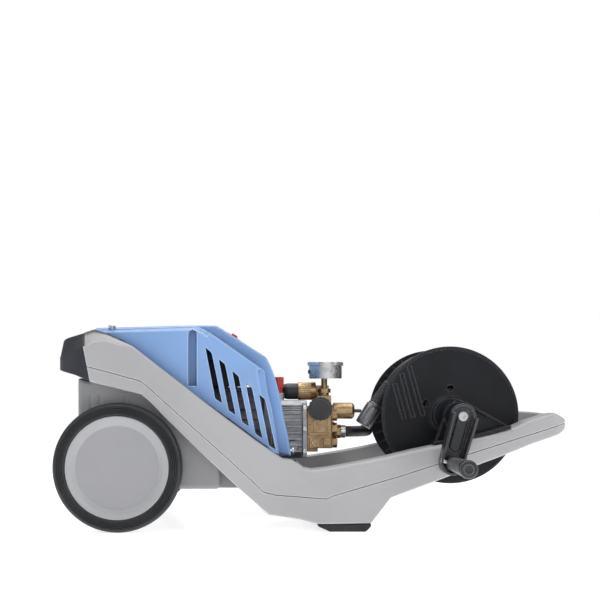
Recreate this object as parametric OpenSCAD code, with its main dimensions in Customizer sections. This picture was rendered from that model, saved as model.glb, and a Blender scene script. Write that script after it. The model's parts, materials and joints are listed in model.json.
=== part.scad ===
// Mobile cold-water pressure washer with a built-in hose reel.
// X points towards the handle, Y across the machine, Z up.
// The origin is the middle of the rubber foot's underside.
// The right-hand side, which carries the crank, is at negative Y.

/* [Frame] */
// Half width of the frame over the motor
frame_half = 172; // [168:1:178]
// Half width of the frame at the handle end
handle_half = 130; // [126:1:136]
// Width of a side rail, seen from above
rail_w = 45; // [40:1:48]
// Wall thickness of the mouldings
wall = 3; // [2.5:0.5:4]
// X of the far end of the handle
handle_x = 345; // [340:1:352]

/* [Wheels] */
// Radius of the tyre
wheel_r = 97; // [92:1:97]
// X of the wheel axle
wheel_x = -345; // [-350:1:-340]
// Width of the tyre
tyre_w = 32; // [28:1:34]
// Half distance between the tyres' middle planes
wheel_track = 168.5; // [168:0.5:172]
// Radius of the steel axle
axle_r = 8; // [6:0.5:9]

/* [Reel] */
// X of the reel's axis
reel_x = 171; // [169:1:173]
// Height of the reel's axis
reel_z = 173.5; // [172:0.5:176]
// Radius of the reel's flanges
flange_r = 109; // [104:1:110]
// Half distance between the flanges' inner faces
reel_half = 75; // [73:1:76]
// Radius of the drum that the hose winds on
drum_r = 42; // [38:1:42]
// Outer diameter of the high-pressure hose
hose_d = 12; // [11:0.5:12.5]

/* [Motor and pump] */
// Height of the motor's axis
motor_z = 150; // [148:1:152]
// Outer radius of the motor's ribs
motor_r = 68; // [60:1:69]

/* [Hidden] */
$fn = 64;

gap = 0.4;
eps = 0.01;
bend_x = -27;
slope = (frame_half - handle_half) / (handle_x - bend_x);
handle_bar = 30;
bar_half = 82;
joint_gap = 0.3;
motor_front = -112;

// Side outline of both frame shells together, as [X, Z].
frame_top = [
    [-398, 299], [-383, 304], [-343, 294], [-241, 215], [-192, 177], [-140, 138], [-98, 109],
    [-84, 107], [-73, 101], [-65, 95], [-53, 93], [-35, 95], [3, 101], [56, 111], [117, 125],
    [195, 138], [252, 153], [282, 166], [322, 178], [341, 168], [handle_x, 161]
];
frame_bottom = [
    [341, 151], [331, 145], [306, 137], [282, 129], [244, 114], [203, 100], [141, 77], [87, 58],
    [65, 50], [35, 12.4], [-47, 12.4], [-72, 19], [-119, 26], [-162, 64], [-222, 120], [-274, 171],
    [-296, 194], [-310, 206], [-334, 212], [-386, 225]
];
// Parting line between the two shells.
seam = [
    [-391, 248], [-341, 235], [-310, 226], [-296, 214], [-244, 167], [-192, 121], [-140, 73],
    [-128, 61], [-110, 56], [-32, 50], [-25, 54], [79, 83], [187, 116], [266, 140], [339, 164]
];
hood_cheek = [
    [-397.5, 299], [-381, 308], [-232, 312], [-214, 304], [-126, 243], [-120, 205], [-114, 183],
    [-109, 152], [-103, 114], [-140, 140], [-169, 162], [-170, 152], [-192, 168], [-241, 206],
    [-343, 285], [-397.5, 291]
];
hood_centre = [
    [-397.5, 299], [-381, 308], [-232, 313], [-199, 313], [-122, 264], [-116, 252], [-108, 232],
    [-100, 201], [-94, 166], [-88, 140], [-83, 110], [-103, 114], [-140, 140], [-169, 162],
    [-192, 178], [-241, 206], [-343, 285], [-397.5, 291]
];
hood_half = 149;
centre_half = 122;

// ---------- helpers ----------
// Extrudes an [X, Z] outline from y0 to y1.
module across(y0, y1) {
    translate([0, y1, 0]) rotate([90, 0, 0]) linear_extrude(height = y1 - y0) children();
}
// Turns local Z into +Y at a place in the side view.
module y_axis(x, z, y = 0) {
    translate([x, y, z]) rotate([-90, 0, 0]) children();
}
// Turns local Z into +X at a height.
module x_axis(x, z, y = 0) {
    translate([x, y, z]) rotate([0, 90, 0]) children();
}
module ring(outer, inner, height) {
    difference() {
        cylinder(r = outer, h = height);
        translate([0, 0, -1]) cylinder(r = inner, h = height + 2);
    }
}
module hexagon(flats, height) {
    cylinder(r = flats / sqrt(3), h = height, $fn = 6);
}
module both_sides() {
    children();
    mirror([0, 1, 0]) children();
}
module box(x, y, z) {
    translate([x[0], y[0], z[0]]) cube([x[1] - x[0], y[1] - y[0], z[1] - z[0]]);
}

// ---------- frame ----------
function outer_half(x) = x < bend_x ? frame_half : frame_half - (x - bend_x) * slope;

// Plan of the frame's outer edge, drawn in by a given amount.
module frame_plan(inset = 0) {
    h = frame_half - inset;
    e = handle_half - inset;
    x = handle_x - inset;
    polygon([
        [-400, -h], [bend_x, -h], [x - 22, -e - 2], [x, -e + 22],
        [x, e - 22], [x - 22, e + 2], [bend_x, h], [-400, h]
    ]);
}
// Plan of the space between the rails, drawn out by a given amount.
module between_rails(outset = 0) {
    r = frame_half - rail_w + outset;
    e = handle_half - rail_w + outset;
    b = handle_x - handle_bar + outset;
    w = hood_half + 1.6 + outset;
    polygon([
        [-420, -w], [-168, -w], [-140, -r], [bend_x, -r], [b - 14, -e - 2], [b, -e + 12],
        [b, e - 12], [b - 14, e + 2], [bend_x, r], [-140, r], [-168, w], [-420, w]
    ]);
}
module frame_side() {
    polygon(concat(frame_top, frame_bottom));
}
module above_seam(lift) {
    polygon(concat([[-460, 400], [-460, 262 + lift]], [for (p = seam) [p[0], p[1] + lift]],
        [[460, 200 + lift], [460, 400]]));
}
module below_seam(drop) {
    polygon(concat([[-460, -50], [-460, 262 - drop]], [for (p = seam) [p[0], p[1] - drop]],
        [[460, 200 - drop], [460, -50]]));
}
module frame_hollow() {
    intersection() {
        across(-200, 200) offset(delta = -wall) frame_side();
        linear_extrude(height = 400) frame_plan(wall);
        linear_extrude(height = 400) difference() {
            translate([-500, -300]) square([1000, 600]);
            between_rails(-1);
        }
    }
}
module frame_block() {
    intersection() {
        across(-200, 200) frame_side();
        linear_extrude(height = 400) difference() {
            frame_plan();
            between_rails();
            bar_joints();
        }
    }
}
// Joint lines where the handle's cross bar meets the side rails.
module bar_joints() {
    for (y = [-bar_half, bar_half]) translate([300, y - joint_gap / 2]) square([60, joint_gap]);
}
module frame_upper() {
    color([0.72, 0.72, 0.74]) difference() {
        intersection() {
            frame_block();
            across(-200, 200) above_seam(0.3);
        }
        frame_hollow();
    }
}
module frame_lower() {
    color([0.70, 0.70, 0.72]) difference() {
        intersection() {
            frame_block();
            across(-200, 200) below_seam(0.3);
        }
        frame_hollow();
    }
}
module frame_liner() {
    color([0.16, 0.16, 0.18]) intersection() {
        across(-200, 200) offset(delta = -wall - gap) frame_side();
        linear_extrude(height = 400) difference() {
            intersection() {
                between_rails(2.6);
                translate([-136, -200]) square([900, 400]);
            }
            between_rails(0.4);
        }
    }
}

// ---------- tub, bumper, hood ----------
tub_side = [
    [-409, 233.5], [-409, 112], [-402, 76], [-385, 62], [-66, 62], [-62, 66], [-62, 88], [-122, 88],
    [-170, 138], [-192, 161], [-241, 199], [-343, 279], [-386, 285], [-387.6, 224.6]
];
tub_half = 148;
tub_front_half = frame_half - rail_w - 1;

module tub_solid(inset = 0) {
    across(-tub_half + inset, tub_half - inset) intersection() {
        offset(delta = -inset) polygon(tub_side);
        translate([-600, 0]) square([430 - inset, 400]);
    }
    across(-tub_front_half + inset, tub_front_half - inset) offset(delta = -inset) polygon(tub_side);
}
module tub() {
    color([0.62, 0.62, 0.64]) difference() {
        tub_solid();
        tub_solid(wall);
        translate([0, 0, 14]) tub_solid(wall);
        y_axis(wheel_x, wheel_r, -200) cylinder(r = axle_r + 0.3, h = 400);
        x_axis(-420, 150, 90) cylinder(r = 8.2, h = 20);
        tub_joints();
    }
}
// Joint lines between the tub's tray, its side panels and its rear panel.
module tub_joints() {
    g = joint_gap;
    y = tub_half - wall;
    for (side = [-1, 1]) translate([-420, side * (y - g / 2) - g / 2, 62 + wall + g])
        cube([250 + eps, g, 300]);
    box([-409 + wall, -409 + wall + g], [-y + g, y - g], [62 + wall + g, 400]);
    box([-420, -170], [-200, 200], [62 + wall, 62 + wall + g]);
}
module bumper_side() {
    polygon([[-439, 243], [-439, 263], [-434, 287], [-430, 291], [-399, 299], [-396.6, 277],
        [-386.8, 226], [-409, 235]]);
}
module bumper_plan(inset) {
    h = frame_half - inset;
    x = -439 + inset;
    polygon([[-380, -h], [x + 34, -h], [x + 10, -h + 12], [x, -h + 40],
        [x, h - 40], [x + 10, h - 12], [x + 34, h], [-380, h]]);
}
module rear_bumper() {
    color([0.26, 0.27, 0.30]) difference() {
        intersection() {
            across(-200, 200) bumper_side();
            linear_extrude(height = 400) bumper_plan(0);
        }
        intersection() {
            across(-200, 200) translate([0, -4]) polygon([[-460, 150], [-460, 285.5], [-430, 290],
                [-399, 298.5], [-370, 298.5], [-370, 150]]);
            linear_extrude(height = 400) bumper_plan(5);
        }
    }
}

slot_step = [20.4, -17.8];
module louvre_slots() {
    for (i = [0:4]) translate(i * slot_step)
        polygon([[-215, 278], [-205.5, 269.8], [-189.5, 193], [-200, 200]]);
}
module hood_solid(inset = 0, drop = 0) {
    across(-hood_half + inset, hood_half - inset)
        translate([0, -drop]) offset(delta = -inset) polygon(hood_cheek);
    across(-centre_half + inset, centre_half - inset)
        translate([0, -drop]) offset(delta = -inset) polygon(hood_centre);
}
module hood_screw_places() {
    both_sides() {
        translate([-358, 138, 306.5]) children();
        translate([-84, 110, 118]) rotate([0, 90, 0]) children();
    }
}
module hood() {
    color([0.47, 0.60, 0.80]) difference() {
        hood_solid();
        hood_solid(wall);
        hood_solid(wall, 9);
        both_sides() across(130, 160) louvre_slots();
        both_sides() across(hood_half - 2, 160) {
            translate([-241, 200]) square([13, 98]);
            translate([-234.5, 298]) circle(r = 6.5);
        }
        box([-130, -50], [-86, 86], [60, 238]);
        box([-190, -112], [-hood_half + wall, hood_half - wall], [90, 200]);
        hood_screw_places() translate([0, 0, -12]) cylinder(r = 2.6, h = 24, $fn = 24);
        switch_place() translate([0, 0, -10]) cylinder(r = 10.3, h = 20);
    }
}
module hood_screws() {
    color([0.75, 0.75, 0.77]) hood_screw_places() difference() {
        union() {
            translate([0, 0, -8]) cylinder(r = 2.5, h = 11, $fn = 24);
            translate([0, 0, 2.6]) cylinder(r = 5.5, h = 2.6, $fn = 32);
        }
        translate([0, 0, 3.6]) hexagon(4, 3);
    }
}
module switch_place() {
    translate([-176, 0, 298.6]) rotate([0, 32.5, 0]) children();
}
module switch_base() {
    color([0.12, 0.12, 0.13]) switch_place() difference() {
        union() {
            translate([0, 0, 0.2]) cylinder(r = 19, h = 2);
            translate([0, 0, -12]) cylinder(r = 10, h = 13);
        }
        translate([0, 0, -13]) cylinder(r = 5.05, h = 20, $fn = 48);
    }
}
module switch_knob() {
    color([0.75, 0.12, 0.13]) switch_place() {
        translate([0, 0, -10]) cylinder(r = 5, h = 13.5, $fn = 48);
        translate([0, 0, 2.5]) cylinder(r = 15, h = 2);
        intersection() {
            translate([-5, -16, 4]) cube([10, 32, 3.6]);
            translate([0, 0, 4]) cylinder(r = 14.5, h = 10);
        }
    }
}
module cable_gland() {
    color([0.1, 0.1, 0.11]) difference() {
        union() {
            x_axis(-412, 150, 90) cylinder(r = 8, h = 12);
            x_axis(-414.4, 150, 90) hexagon(24, 5);
            x_axis(-424, 150, 90) cylinder(r1 = 8, r2 = 10, h = 10);
            x_axis(-405.6, 150, 90) hexagon(22, 4);
        }
        x_axis(-430, 150, 90) cylinder(r = 5, h = 40, $fn = 48);
    }
}

// ---------- cross member and foot ----------
module cross_member() {
    color([0.30, 0.30, 0.32]) intersection() {
        difference() {
            box([-50, 34], [-150, 150], [13, 56]);
            box([-46, 30], [-151, 151], [17, 60]);
        }
        linear_extrude(height = 100) between_rails(-0.6);
    }
}
module front_foot() {
    color([0.06, 0.06, 0.06])
        across(-165, 165) polygon([[-46, 12], [-45, 8], [-27, 0], [27, 0], [35, 8], [35, 12]]);
}

// ---------- wheels ----------
axle_half = wheel_track + 4.4;
module axle() {
    color([0.72, 0.72, 0.72]) {
        y_axis(wheel_x, wheel_r, -axle_half) cylinder(r = axle_r, h = 2 * axle_half);
        for (y = [-151.6, 149.2]) y_axis(wheel_x, wheel_r, y) cylinder(r = 13, h = 2.4);
    }
}
module tyre() {
    h = tyre_w / 2;
    color([0.10, 0.10, 0.11]) y_axis(wheel_x, wheel_r, wheel_track) rotate_extrude($fn = 96)
        polygon([
            [wheel_r - 19, -h + 2], [wheel_r - 13, -h], [wheel_r - 5, -h + 1.5], [wheel_r - 1.2, -h + 6],
            [wheel_r, -h + 11], [wheel_r, h - 11], [wheel_r - 1.2, h - 6], [wheel_r - 5, h - 1.5],
            [wheel_r - 13, h], [wheel_r - 19, h - 2]
        ]);
}
module rim() {
    r = wheel_r - 19.3;
    color([0.66, 0.66, 0.68]) y_axis(wheel_x, wheel_r, wheel_track) rotate_extrude($fn = 96)
        polygon([
            [0, 9], [r - 12.5, 9], [r - 11.5, 10.5], [r - 3, 14], [r, 13], [r, -13], [r - 6, -13],
            [r - 6, 5], [17, 5], [17, -15.5], [axle_r + 0.05, -15.5], [axle_r + 0.05, 5.01],
            [0, 5.01]
        ]);
}
module left_tyre() tyre();
module left_rim() rim();
module right_tyre() mirror([0, 1, 0]) tyre();
module right_rim() mirror([0, 1, 0]) rim();

// ---------- motor ----------
motor_rear = -272;
module motor_housing() {
    core = motor_r - 7;
    color([0.45, 0.46, 0.48]) difference() {
        union() {
            x_axis(motor_rear, motor_z) cylinder(r = core, h = 147);
            for (a = [0:15:345]) x_axis(motor_rear, motor_z) rotate(a)
                translate([core - 2, -1.2, 4]) cube([9, 2.4, 139]);
            for (x = [-255, -150], y = [-56, 30]) translate([x, y, 84]) cube([22, 26, 28]);
        }
        x_axis(motor_rear + 8, motor_z) cylinder(r = 37, h = 160);
        x_axis(motor_rear - 1, motor_z) cylinder(r = 17.02, h = 20, $fn = 48);
    }
}
module motor_front_bell() {
    color([0.55, 0.55, 0.57]) difference() {
        x_axis(motor_rear + 147.2, motor_z) cylinder(r = motor_r - 2, h = 12.6);
        x_axis(motor_rear + 140, motor_z) cylinder(r = 17.02, h = 30, $fn = 48);
    }
}
module fan_cover() {
    color([0.2, 0.2, 0.22]) difference() {
        x_axis(-322, motor_z) cylinder(r = motor_r - 1, h = 49.8);
        x_axis(-319, motor_z) cylinder(r = motor_r - 3.5, h = 60);
        for (a = [0:30:330]) x_axis(-330, motor_z) rotate(a)
            translate([16, -3.5, 0]) cube([38, 7, 20]);
    }
}
module terminal_box() {
    color([0.14, 0.14, 0.15]) difference() {
        box([-248, -162], [-44, 44], [motor_z + motor_r + 1, 262]);
        box([-245, -165], [-41, 41], [motor_z + motor_r + 4, 259]);
    }
}
module motor_mounts() {
    color([0.08, 0.08, 0.08]) for (x = [-244, -139], y = [-43, 43])
        translate([x, y, 65.2]) cylinder(r = 10, h = 18.6);
}
module motor_bearings() {
    color([0.7, 0.7, 0.72]) for (x = [motor_rear, motor_rear + 147.4])
        x_axis(x, motor_z) ring(17, 10.03, 8);
}
module rotor_shaft() {
    color([0.6, 0.6, 0.62]) {
        x_axis(-312, motor_z) cylinder(r = 10, h = 244, $fn = 48);
        x_axis(motor_rear + 16, motor_z) cylinder(r = 36, h = 118);
    }
}
module cooling_fan() {
    color([0.25, 0.25, 0.27]) x_axis(-308, motor_z) {
        ring(17, 10.02, 22);
        ring(50, 16.5, 2.5);
        for (a = [0:45:315]) rotate(a) translate([15, -1.2, 1]) cube([40, 2.4, 20]);
    }
}

// ---------- pump ----------
module crankcase() {
    color([0.55, 0.56, 0.58]) difference() {
        union() {
            x_axis(motor_front, motor_z) cylinder(r = 58, h = 10);
            intersection() {
                box([-103, -54.4], [-48, 48], [102, 196]);
                x_axis(-110, motor_z) cylinder(r = 60, h = 70);
            }
            for (z = [173:7:187]) box([-96, -62], [-52, 52], [z, z + 2.5]);
            y_axis(-78, 122, -53) cylinder(r = 9, h = 106);
            translate([-99, 0, 190]) cylinder(r = 9, h = 18.4);
        }
        x_axis(motor_front - 1, motor_z) cylinder(r = 41, h = 52);
        plunger_places() x_axis(-64, 0) cylinder(r = 7.05, h = 12, $fn = 48);
        translate([-99, 0, 186]) cylinder(r = 5.2, h = 30, $fn = 48);
    }
}
module swash_plate() {
    color([0.68, 0.68, 0.70]) difference() {
        x_axis(-96, motor_z) cylinder(r = 38, h = 29);
        x_axis(-97, motor_z) cylinder(r = 10.03, h = 40, $fn = 48);
        translate([-72, 0, motor_z]) rotate([0, -8, 0]) translate([0, -60, -60]) cube([40, 120, 120]);
    }
}
plunger_angles = [90, 210, 330];
module plunger_places() {
    for (a = plunger_angles) translate([0, 24 * cos(a), motor_z + 24 * sin(a)]) children();
}
module plungers() {
    color([0.8, 0.8, 0.82]) plunger_places() x_axis(-62, 0) cylinder(r = 7, h = 36, $fn = 48);
}
module pump_head() {
    color([0.62, 0.52, 0.33]) difference() {
        union() {
            box([-54, -14], [-42, 42], [118, 186]);
            box([-54, -36], [-34, 34], [112, 120]);
            y_axis(-33.5, 183, -46) cylinder(r = 12, h = 5);
            y_axis(-33.5, 183, -60) cylinder(r = 4, h = 20, $fn = 48);
            x_axis(-16, 144) cylinder(r = 14, h = 4);
            x_axis(-16, 178.5) cylinder(r = 7.4, h = 4);
        }
        plunger_places() x_axis(-64, 0) cylinder(r = 7.05, h = 42, $fn = 48);
        x_axis(-18, 144) cylinder(r = 6, h = 10, $fn = 48);
    }
}
module valve_plugs() {
    color([0.66, 0.52, 0.28]) for (y = [-28, 28], z = [128, 150, 172]) {
        x_axis(-13.8, z, y) cylinder(r = 10.5, h = 2);
        x_axis(-12, z, y) hexagon(17, 8);
    }
}
module oil_cap() {
    color([0.70, 0.12, 0.12]) {
        translate([-99, 0, 190]) cylinder(r = 5, h = 20, $fn = 48);
        translate([-99, 0, 208.8]) cylinder(r = 6.5, h = 10);
        difference() {
            translate([-99, 0, 218]) cylinder(r = 8.5, h = 17);
            for (a = [0:30:330]) translate([-99, 0, 217]) rotate(a) translate([9.3, 0, 0])
                cylinder(r = 1.5, h = 20, $fn = 16);
        }
    }
}
module unloader_body() {
    color([0.70, 0.54, 0.28]) difference() {
        union() {
            x_axis(-11.8, 178.5) cylinder(r = 10.5, h = 6);
            x_axis(-8, 178.5) cylinder(r = 13.5, h = 31);
            x_axis(23, 178.5) cylinder(r1 = 13.5, r2 = 10, h = 4);
        }
        x_axis(-3, 178.5) cylinder(r = 3.05, h = 40, $fn = 48);
    }
}
module unloader_spindle() {
    color([0.15, 0.15, 0.16]) x_axis(5, 178.5) cylinder(r = 3, h = 34, $fn = 48);
}
module pressure_knob() {
    color([0.07, 0.07, 0.08]) y_axis(-33.5, 183, -63) difference() {
        union() {
            cylinder(r = 15, h = 2);
            translate([0, 0, 1.5]) cylinder(r = 19.5, h = 12);
            translate([0, 0, 13]) cylinder(r = 11, h = 3);
        }
        translate([0, 0, 3]) cylinder(r = 4.05, h = 20, $fn = 48);
        for (a = [0:20:340]) rotate(a) translate([20.4, 0, -1]) cylinder(r = 2, h = 20, $fn = 16);
    }
}
module tee_block() {
    color([0.66, 0.55, 0.34]) difference() {
        union() {
            box([-36, -12.3], [-14, 32], [186.3, 204]);
            box([-36, -14], [14, 32], [200, 221]);
        }
        translate([-23, 0, 195]) cylinder(r = 5.02, h = 20, $fn = 48);
    }
}
module gauge_stem() {
    color([0.70, 0.56, 0.30]) {
        translate([-23, 0, 196]) cylinder(r = 5, h = 36, $fn = 48);
        translate([-23, 0, 204.3]) cylinder(r = 8, h = 5);
        translate([-23, 0, 208.5]) hexagon(19, 7);
    }
}
module gauge_case() {
    color([0.72, 0.73, 0.75]) translate([-21, 0, 232.2]) difference() {
        union() {
            cylinder(r = 27.5, h = 22);
            translate([0, 0, 21]) cylinder(r = 29.8, h = 6.5);
        }
        translate([0, 0, 12]) cylinder(r = 26.3, h = 20);
    }
}
module gauge_dial() {
    color([0.93, 0.93, 0.92]) translate([-21, 0, 246.4]) ring(26, 1.6, 1);
}
module gauge_needle() {
    color([0.75, 0.15, 0.1]) translate([-21, 0, 244.6]) {
        cylinder(r = 1.5, h = 5, $fn = 32);
        translate([0, 0, 3.4]) cylinder(r = 3, h = 1.6, $fn = 32);
        translate([0, 0, 3.4]) linear_extrude(height = 1)
            polygon([[-17, -12], [-1, -2], [1, 1], [-1.5, 1]]);
    }
}
module gauge_glass() {
    color([0.85, 0.9, 0.92, 0.4]) translate([-21, 0, 255]) cylinder(r = 26.1, h = 2);
}
module suction_union() {
    color([0.72, 0.58, 0.32]) difference() {
        x_axis(-66, 211.4, 18) cylinder(r = 15, h = 29.7);
        for (a = [0:15:345]) x_axis(-61, 211.4, 18) rotate(a) translate([15.5, 0, 0])
            cylinder(r = 1.2, h = 16, $fn = 16);
    }
}
module suction_elbow() {
    color([0.08, 0.08, 0.09]) {
        x_axis(-82, 211, 18) cylinder(r = 13.5, h = 15.7);
        translate([-82, 18, 211]) sphere(r = 13.5);
        y_axis(-82, 211, 18) cylinder(r = 13.5, h = 46);
    }
}
module outlet_fitting() {
    color([0.68, 0.55, 0.30]) {
        x_axis(-11.8, 144) cylinder(r = 9, h = 24);
        x_axis(-8, 144) hexagon(20, 12);
    }
}

// ---------- link hose ----------
link_route = [
    [12.5, 0, 144], [20, 1, 144], [31, 5, 144], [42, 13, 144], [50, 25, 144], [54, 40, 144],
    [55, 56, 144], [55, 73, 144], [56, 90, 145], [60, 107, 147], [69, 123, 151], [83, 136, 157],
    [101, 145, 164], [121, 150, 170], [134, 151, 172.5], [147, 151, 173.5]
];
function unit(v) = v / norm(v);
function heading(p, i) = unit(p[min(i + 1, len(p) - 1)] - p[max(i - 1, 0)]);

// A round tube along a route. "up" is a direction that the route never follows.
module tube(p, r, up, sides = 10) {
    n = len(p);
    rings = [for (i = [0:n - 1])
        let (t = heading(p, i), s = unit(cross(up, t)), u = cross(t, s))
        for (k = [0:sides - 1]) p[i] + r * (cos(k * 360 / sides) * s + sin(k * 360 / sides) * u)];
    walls = [for (i = [0:n - 2], k = [0:sides - 1]) let (j = (k + 1) % sides)
        [(i + 1) * sides + k, (i + 1) * sides + j, i * sides + j, i * sides + k]];
    first = [for (k = [0:sides - 1]) k];
    last = [for (k = [sides - 1:-1:0]) (n - 1) * sides + k];
    polyhedron(points = rings, faces = concat([first], walls, [last]));
}
module link_hose() {
    color([0.05, 0.05, 0.06]) tube(link_route, 9, [0, 0, 1], 12);
}
module link_ferrules() {
    color([0.6, 0.6, 0.62]) {
        x_axis(147.2, reel_z, 151) ring(10.4, 6, 8);
        x_axis(4.2, 144) ring(10.6, 9.05, 8);
    }
}

// ---------- reel ----------
bracket_y0 = 119;
module bracket_outline(inset = 0) {
    offset(delta = -inset)
        polygon([[137, 130.5], [150, 168], [157, 188], [171, 199], [188, 194], [253, 156.5],
            [195, 141]]);
}
module reel_bracket() {
    difference() {
        union() {
            across(bracket_y0, bracket_y0 + 5) bracket_outline();
            across(bracket_y0 - 4, bracket_y0 + 9) difference() {
                bracket_outline();
                bracket_outline(3);
            }
            across(111, 137) polygon([[134, 128.7], [195, 139], [253.5, 154.6], [252, 159],
                [195, 143], [135, 133]]);
            y_axis(reel_x, reel_z, 110) cylinder(r = 21, h = 26);
        }
        y_axis(reel_x, reel_z, 100) cylinder(r = 12.05, h = 60);
    }
}
module reel_bracket_left() color([0.08, 0.08, 0.09]) reel_bracket();
module reel_bracket_right() color([0.08, 0.08, 0.09]) mirror([0, 1, 0]) reel_bracket();
module reel_swivel() {
    color([0.68, 0.55, 0.30]) difference() {
        union() {
            y_axis(reel_x, reel_z, 138) cylinder(r = 14, h = 26);
            x_axis(155.3, reel_z, 151) cylinder(r = 9, h = 15);
        }
        y_axis(reel_x, reel_z, 137) cylinder(r = 7.05, h = 21, $fn = 48);
    }
}
module reel_drum() {
    color([0.09, 0.09, 0.10]) {
        difference() {
            y_axis(reel_x, reel_z, -reel_half) cylinder(r = drum_r, h = 2 * reel_half);
            y_axis(reel_x, reel_z, -reel_half + 5) cylinder(r = drum_r - 4, h = 2 * reel_half - 10);
        }
        y_axis(reel_x, reel_z, -167.8) cylinder(r = 12, h = 167.8 - reel_half + 4);
        y_axis(reel_x, reel_z, reel_half - 4) cylinder(r = 12, h = 137.6 - reel_half + 4);
        y_axis(reel_x, reel_z, 135) cylinder(r = 7, h = 21, $fn = 48);
    }
}
module reel_flange() {
    r = flange_r;
    difference() {
        y_axis(reel_x, reel_z, reel_half + 0.2) rotate_extrude($fn = 120)
            polygon([[12.02, 0], [12.02, 9], [26, 9], [29, 3.2], [r - 5, 3.2], [r - 4, 5.6],
                [r - 1, 5.6], [r, 4.4], [r, 0]]);
        y_axis(reel_x + 0.5, reel_z + 42.8, 60) cylinder(r = 5.5, h = 40, $fn = 32);
        y_axis(reel_x - 38, reel_z + 18.3, 60) cylinder(r = 5.5, h = 40, $fn = 32);
    }
}
module reel_flange_left() color([0.08, 0.08, 0.09]) reel_flange();
module reel_flange_right() color([0.08, 0.08, 0.09]) mirror([0, 1, 0]) reel_flange();

// ---------- crank ----------
crank_angle = -15.4;
crank_len = 72;
arm_floor = 168;
arm_rim = 192;
pin_reach = 188;
pin_drop = 72;
// Local frame of the crank: Z out of the machine, Y up along the arm, the hub at the origin.
module crank_place() {
    translate([reel_x, 0, reel_z]) rotate([90, 0, 0]) rotate(crank_angle) children();
}
module arm_outline(i = 0) {
    circle(r = 19.5 - i);
    translate([0, -crank_len]) circle(r = 17.5 - i);
    polygon([[i - 19.5, 0], [19.5 - i, 0], [17.5 - i, -crank_len], [i - 17.5, -crank_len]]);
}
module crank_arm() {
    color([0.08, 0.08, 0.09]) crank_place() difference() {
        union() {
            translate([0, 0, arm_floor]) linear_extrude(height = 4) arm_outline();
            translate([0, 0, arm_floor]) linear_extrude(height = arm_rim - arm_floor) difference() {
                arm_outline();
                arm_outline(3.5);
            }
        }
        translate([0, 0, arm_floor - 1]) cylinder(r = 4.02, h = 20, $fn = 48);
        translate([-30, 2, arm_floor + 6.8]) cube([60, 40, 30]);
        translate([-30, -pin_drop, pin_reach]) rotate([0, 90, 0]) cylinder(r = 3.02, h = 60, $fn = 48);
    }
}
module crank_screw() {
    color([0.82, 0.82, 0.84]) crank_place() difference() {
        union() {
            translate([0, 0, arm_floor]) cylinder(r = 4, h = 5, $fn = 48);
            translate([0, 0, arm_floor + 4.2]) cylinder(r = 7, h = 3.2);
        }
        translate([0, 0, arm_floor + 5]) hexagon(5, 4);
    }
}
module grip_pin() {
    color([0.75, 0.75, 0.77]) crank_place()
        translate([-17.3, -pin_drop, pin_reach]) rotate([0, 90, 0]) cylinder(r = 3, h = 34.6, $fn = 48);
}
module grip_spindle() {
    color([0.10, 0.10, 0.11]) crank_place() translate([0, -pin_drop, 0]) difference() {
        union() {
            intersection() {
                translate([-9, -9, pin_reach - 9]) cube([18, 18, 17]);
                translate([0, 0, pin_reach - 9]) cylinder(r = 10, h = 20);
            }
            translate([0, 0, pin_reach + 7]) cylinder(r = 5, h = 96, $fn = 48);
        }
        translate([-30, 0, pin_reach]) rotate([0, 90, 0]) cylinder(r = 3.05, h = 60, $fn = 48);
    }
}
module crank_grip() {
    color([0.07, 0.07, 0.08]) crank_place() translate([0, -pin_drop, pin_reach + 8.4]) difference() {
        union() {
            cylinder(r1 = 10, r2 = 13, h = 97);
            translate([0, 0, 97]) cylinder(r1 = 13, r2 = 11.5, h = 2);
        }
        translate([0, 0, -1]) cylinder(r = 5.05, h = 96.5, $fn = 48);
    }
}

// ---------- high-pressure hose ----------
hose_r = hose_d / 2;
layers = 3;
top_turns = 2;
coil_inner = drum_r + 0.3;
coil_outer = coil_inner + layers * hose_d;
top_centre = coil_outer + hose_r;
turn_pitch = (2 * reel_half - 0.8) / 12;
tail_y0 = -reel_half + turn_pitch * top_turns + hose_r + 0.5;
tail_y1 = -35;
tail_from = 20;
tail_to = 148;
union_r = 104;
// Point at an angle about the reel's axis.
function about_reel(r, a, y) = [reel_x + r * cos(a), y, reel_z + r * sin(a)];
function ease(t) = t * t * (3 - 2 * t);
end_dir = [-sin(tail_to), 0, cos(tail_to)];
tail_exit = about_reel(union_r, tail_to, tail_y1);
tail_route = concat(
    [for (i = [0:16]) let (t = i / 16)
        about_reel(top_centre + (union_r - top_centre) * ease(t),
            tail_from + (tail_to - tail_from) * t, tail_y0 + (tail_y1 - tail_y0) * ease(t))],
    [for (d = [12, 24, 36, 44]) tail_exit + d * end_dir]
);
sleeve_at = 4;
union_at = 45;
union_len = 41;
module tail_place(d) {
    translate(tail_exit + d * end_dir) rotate([0, atan2(end_dir[0], end_dir[2]), 0]) children();
}
module hose_coil() {
    color([0.09, 0.09, 0.10]) y_axis(reel_x, reel_z) rotate_extrude($fn = 96) polygon([
        [coil_inner, -reel_half + 0.4], [top_centre + hose_r, -reel_half + 0.4],
        [top_centre + hose_r, -reel_half + 0.4 + top_turns * turn_pitch],
        [coil_outer, -reel_half + 0.4 + top_turns * turn_pitch], [coil_outer, reel_half - 0.4],
        [coil_inner, reel_half - 0.4]
    ]);
}
module hose_tail() {
    color([0.09, 0.09, 0.10]) tube(tail_route, hose_r, [0, 1, 0], 10);
}
module hose_sleeve() {
    color([0.22, 0.22, 0.24]) tail_place(sleeve_at) difference() {
        cylinder(r1 = 8, r2 = 11, h = union_at - sleeve_at);
        translate([0, 0, -1]) cylinder(r = hose_r + 0.1, h = 60);
    }
}
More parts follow.
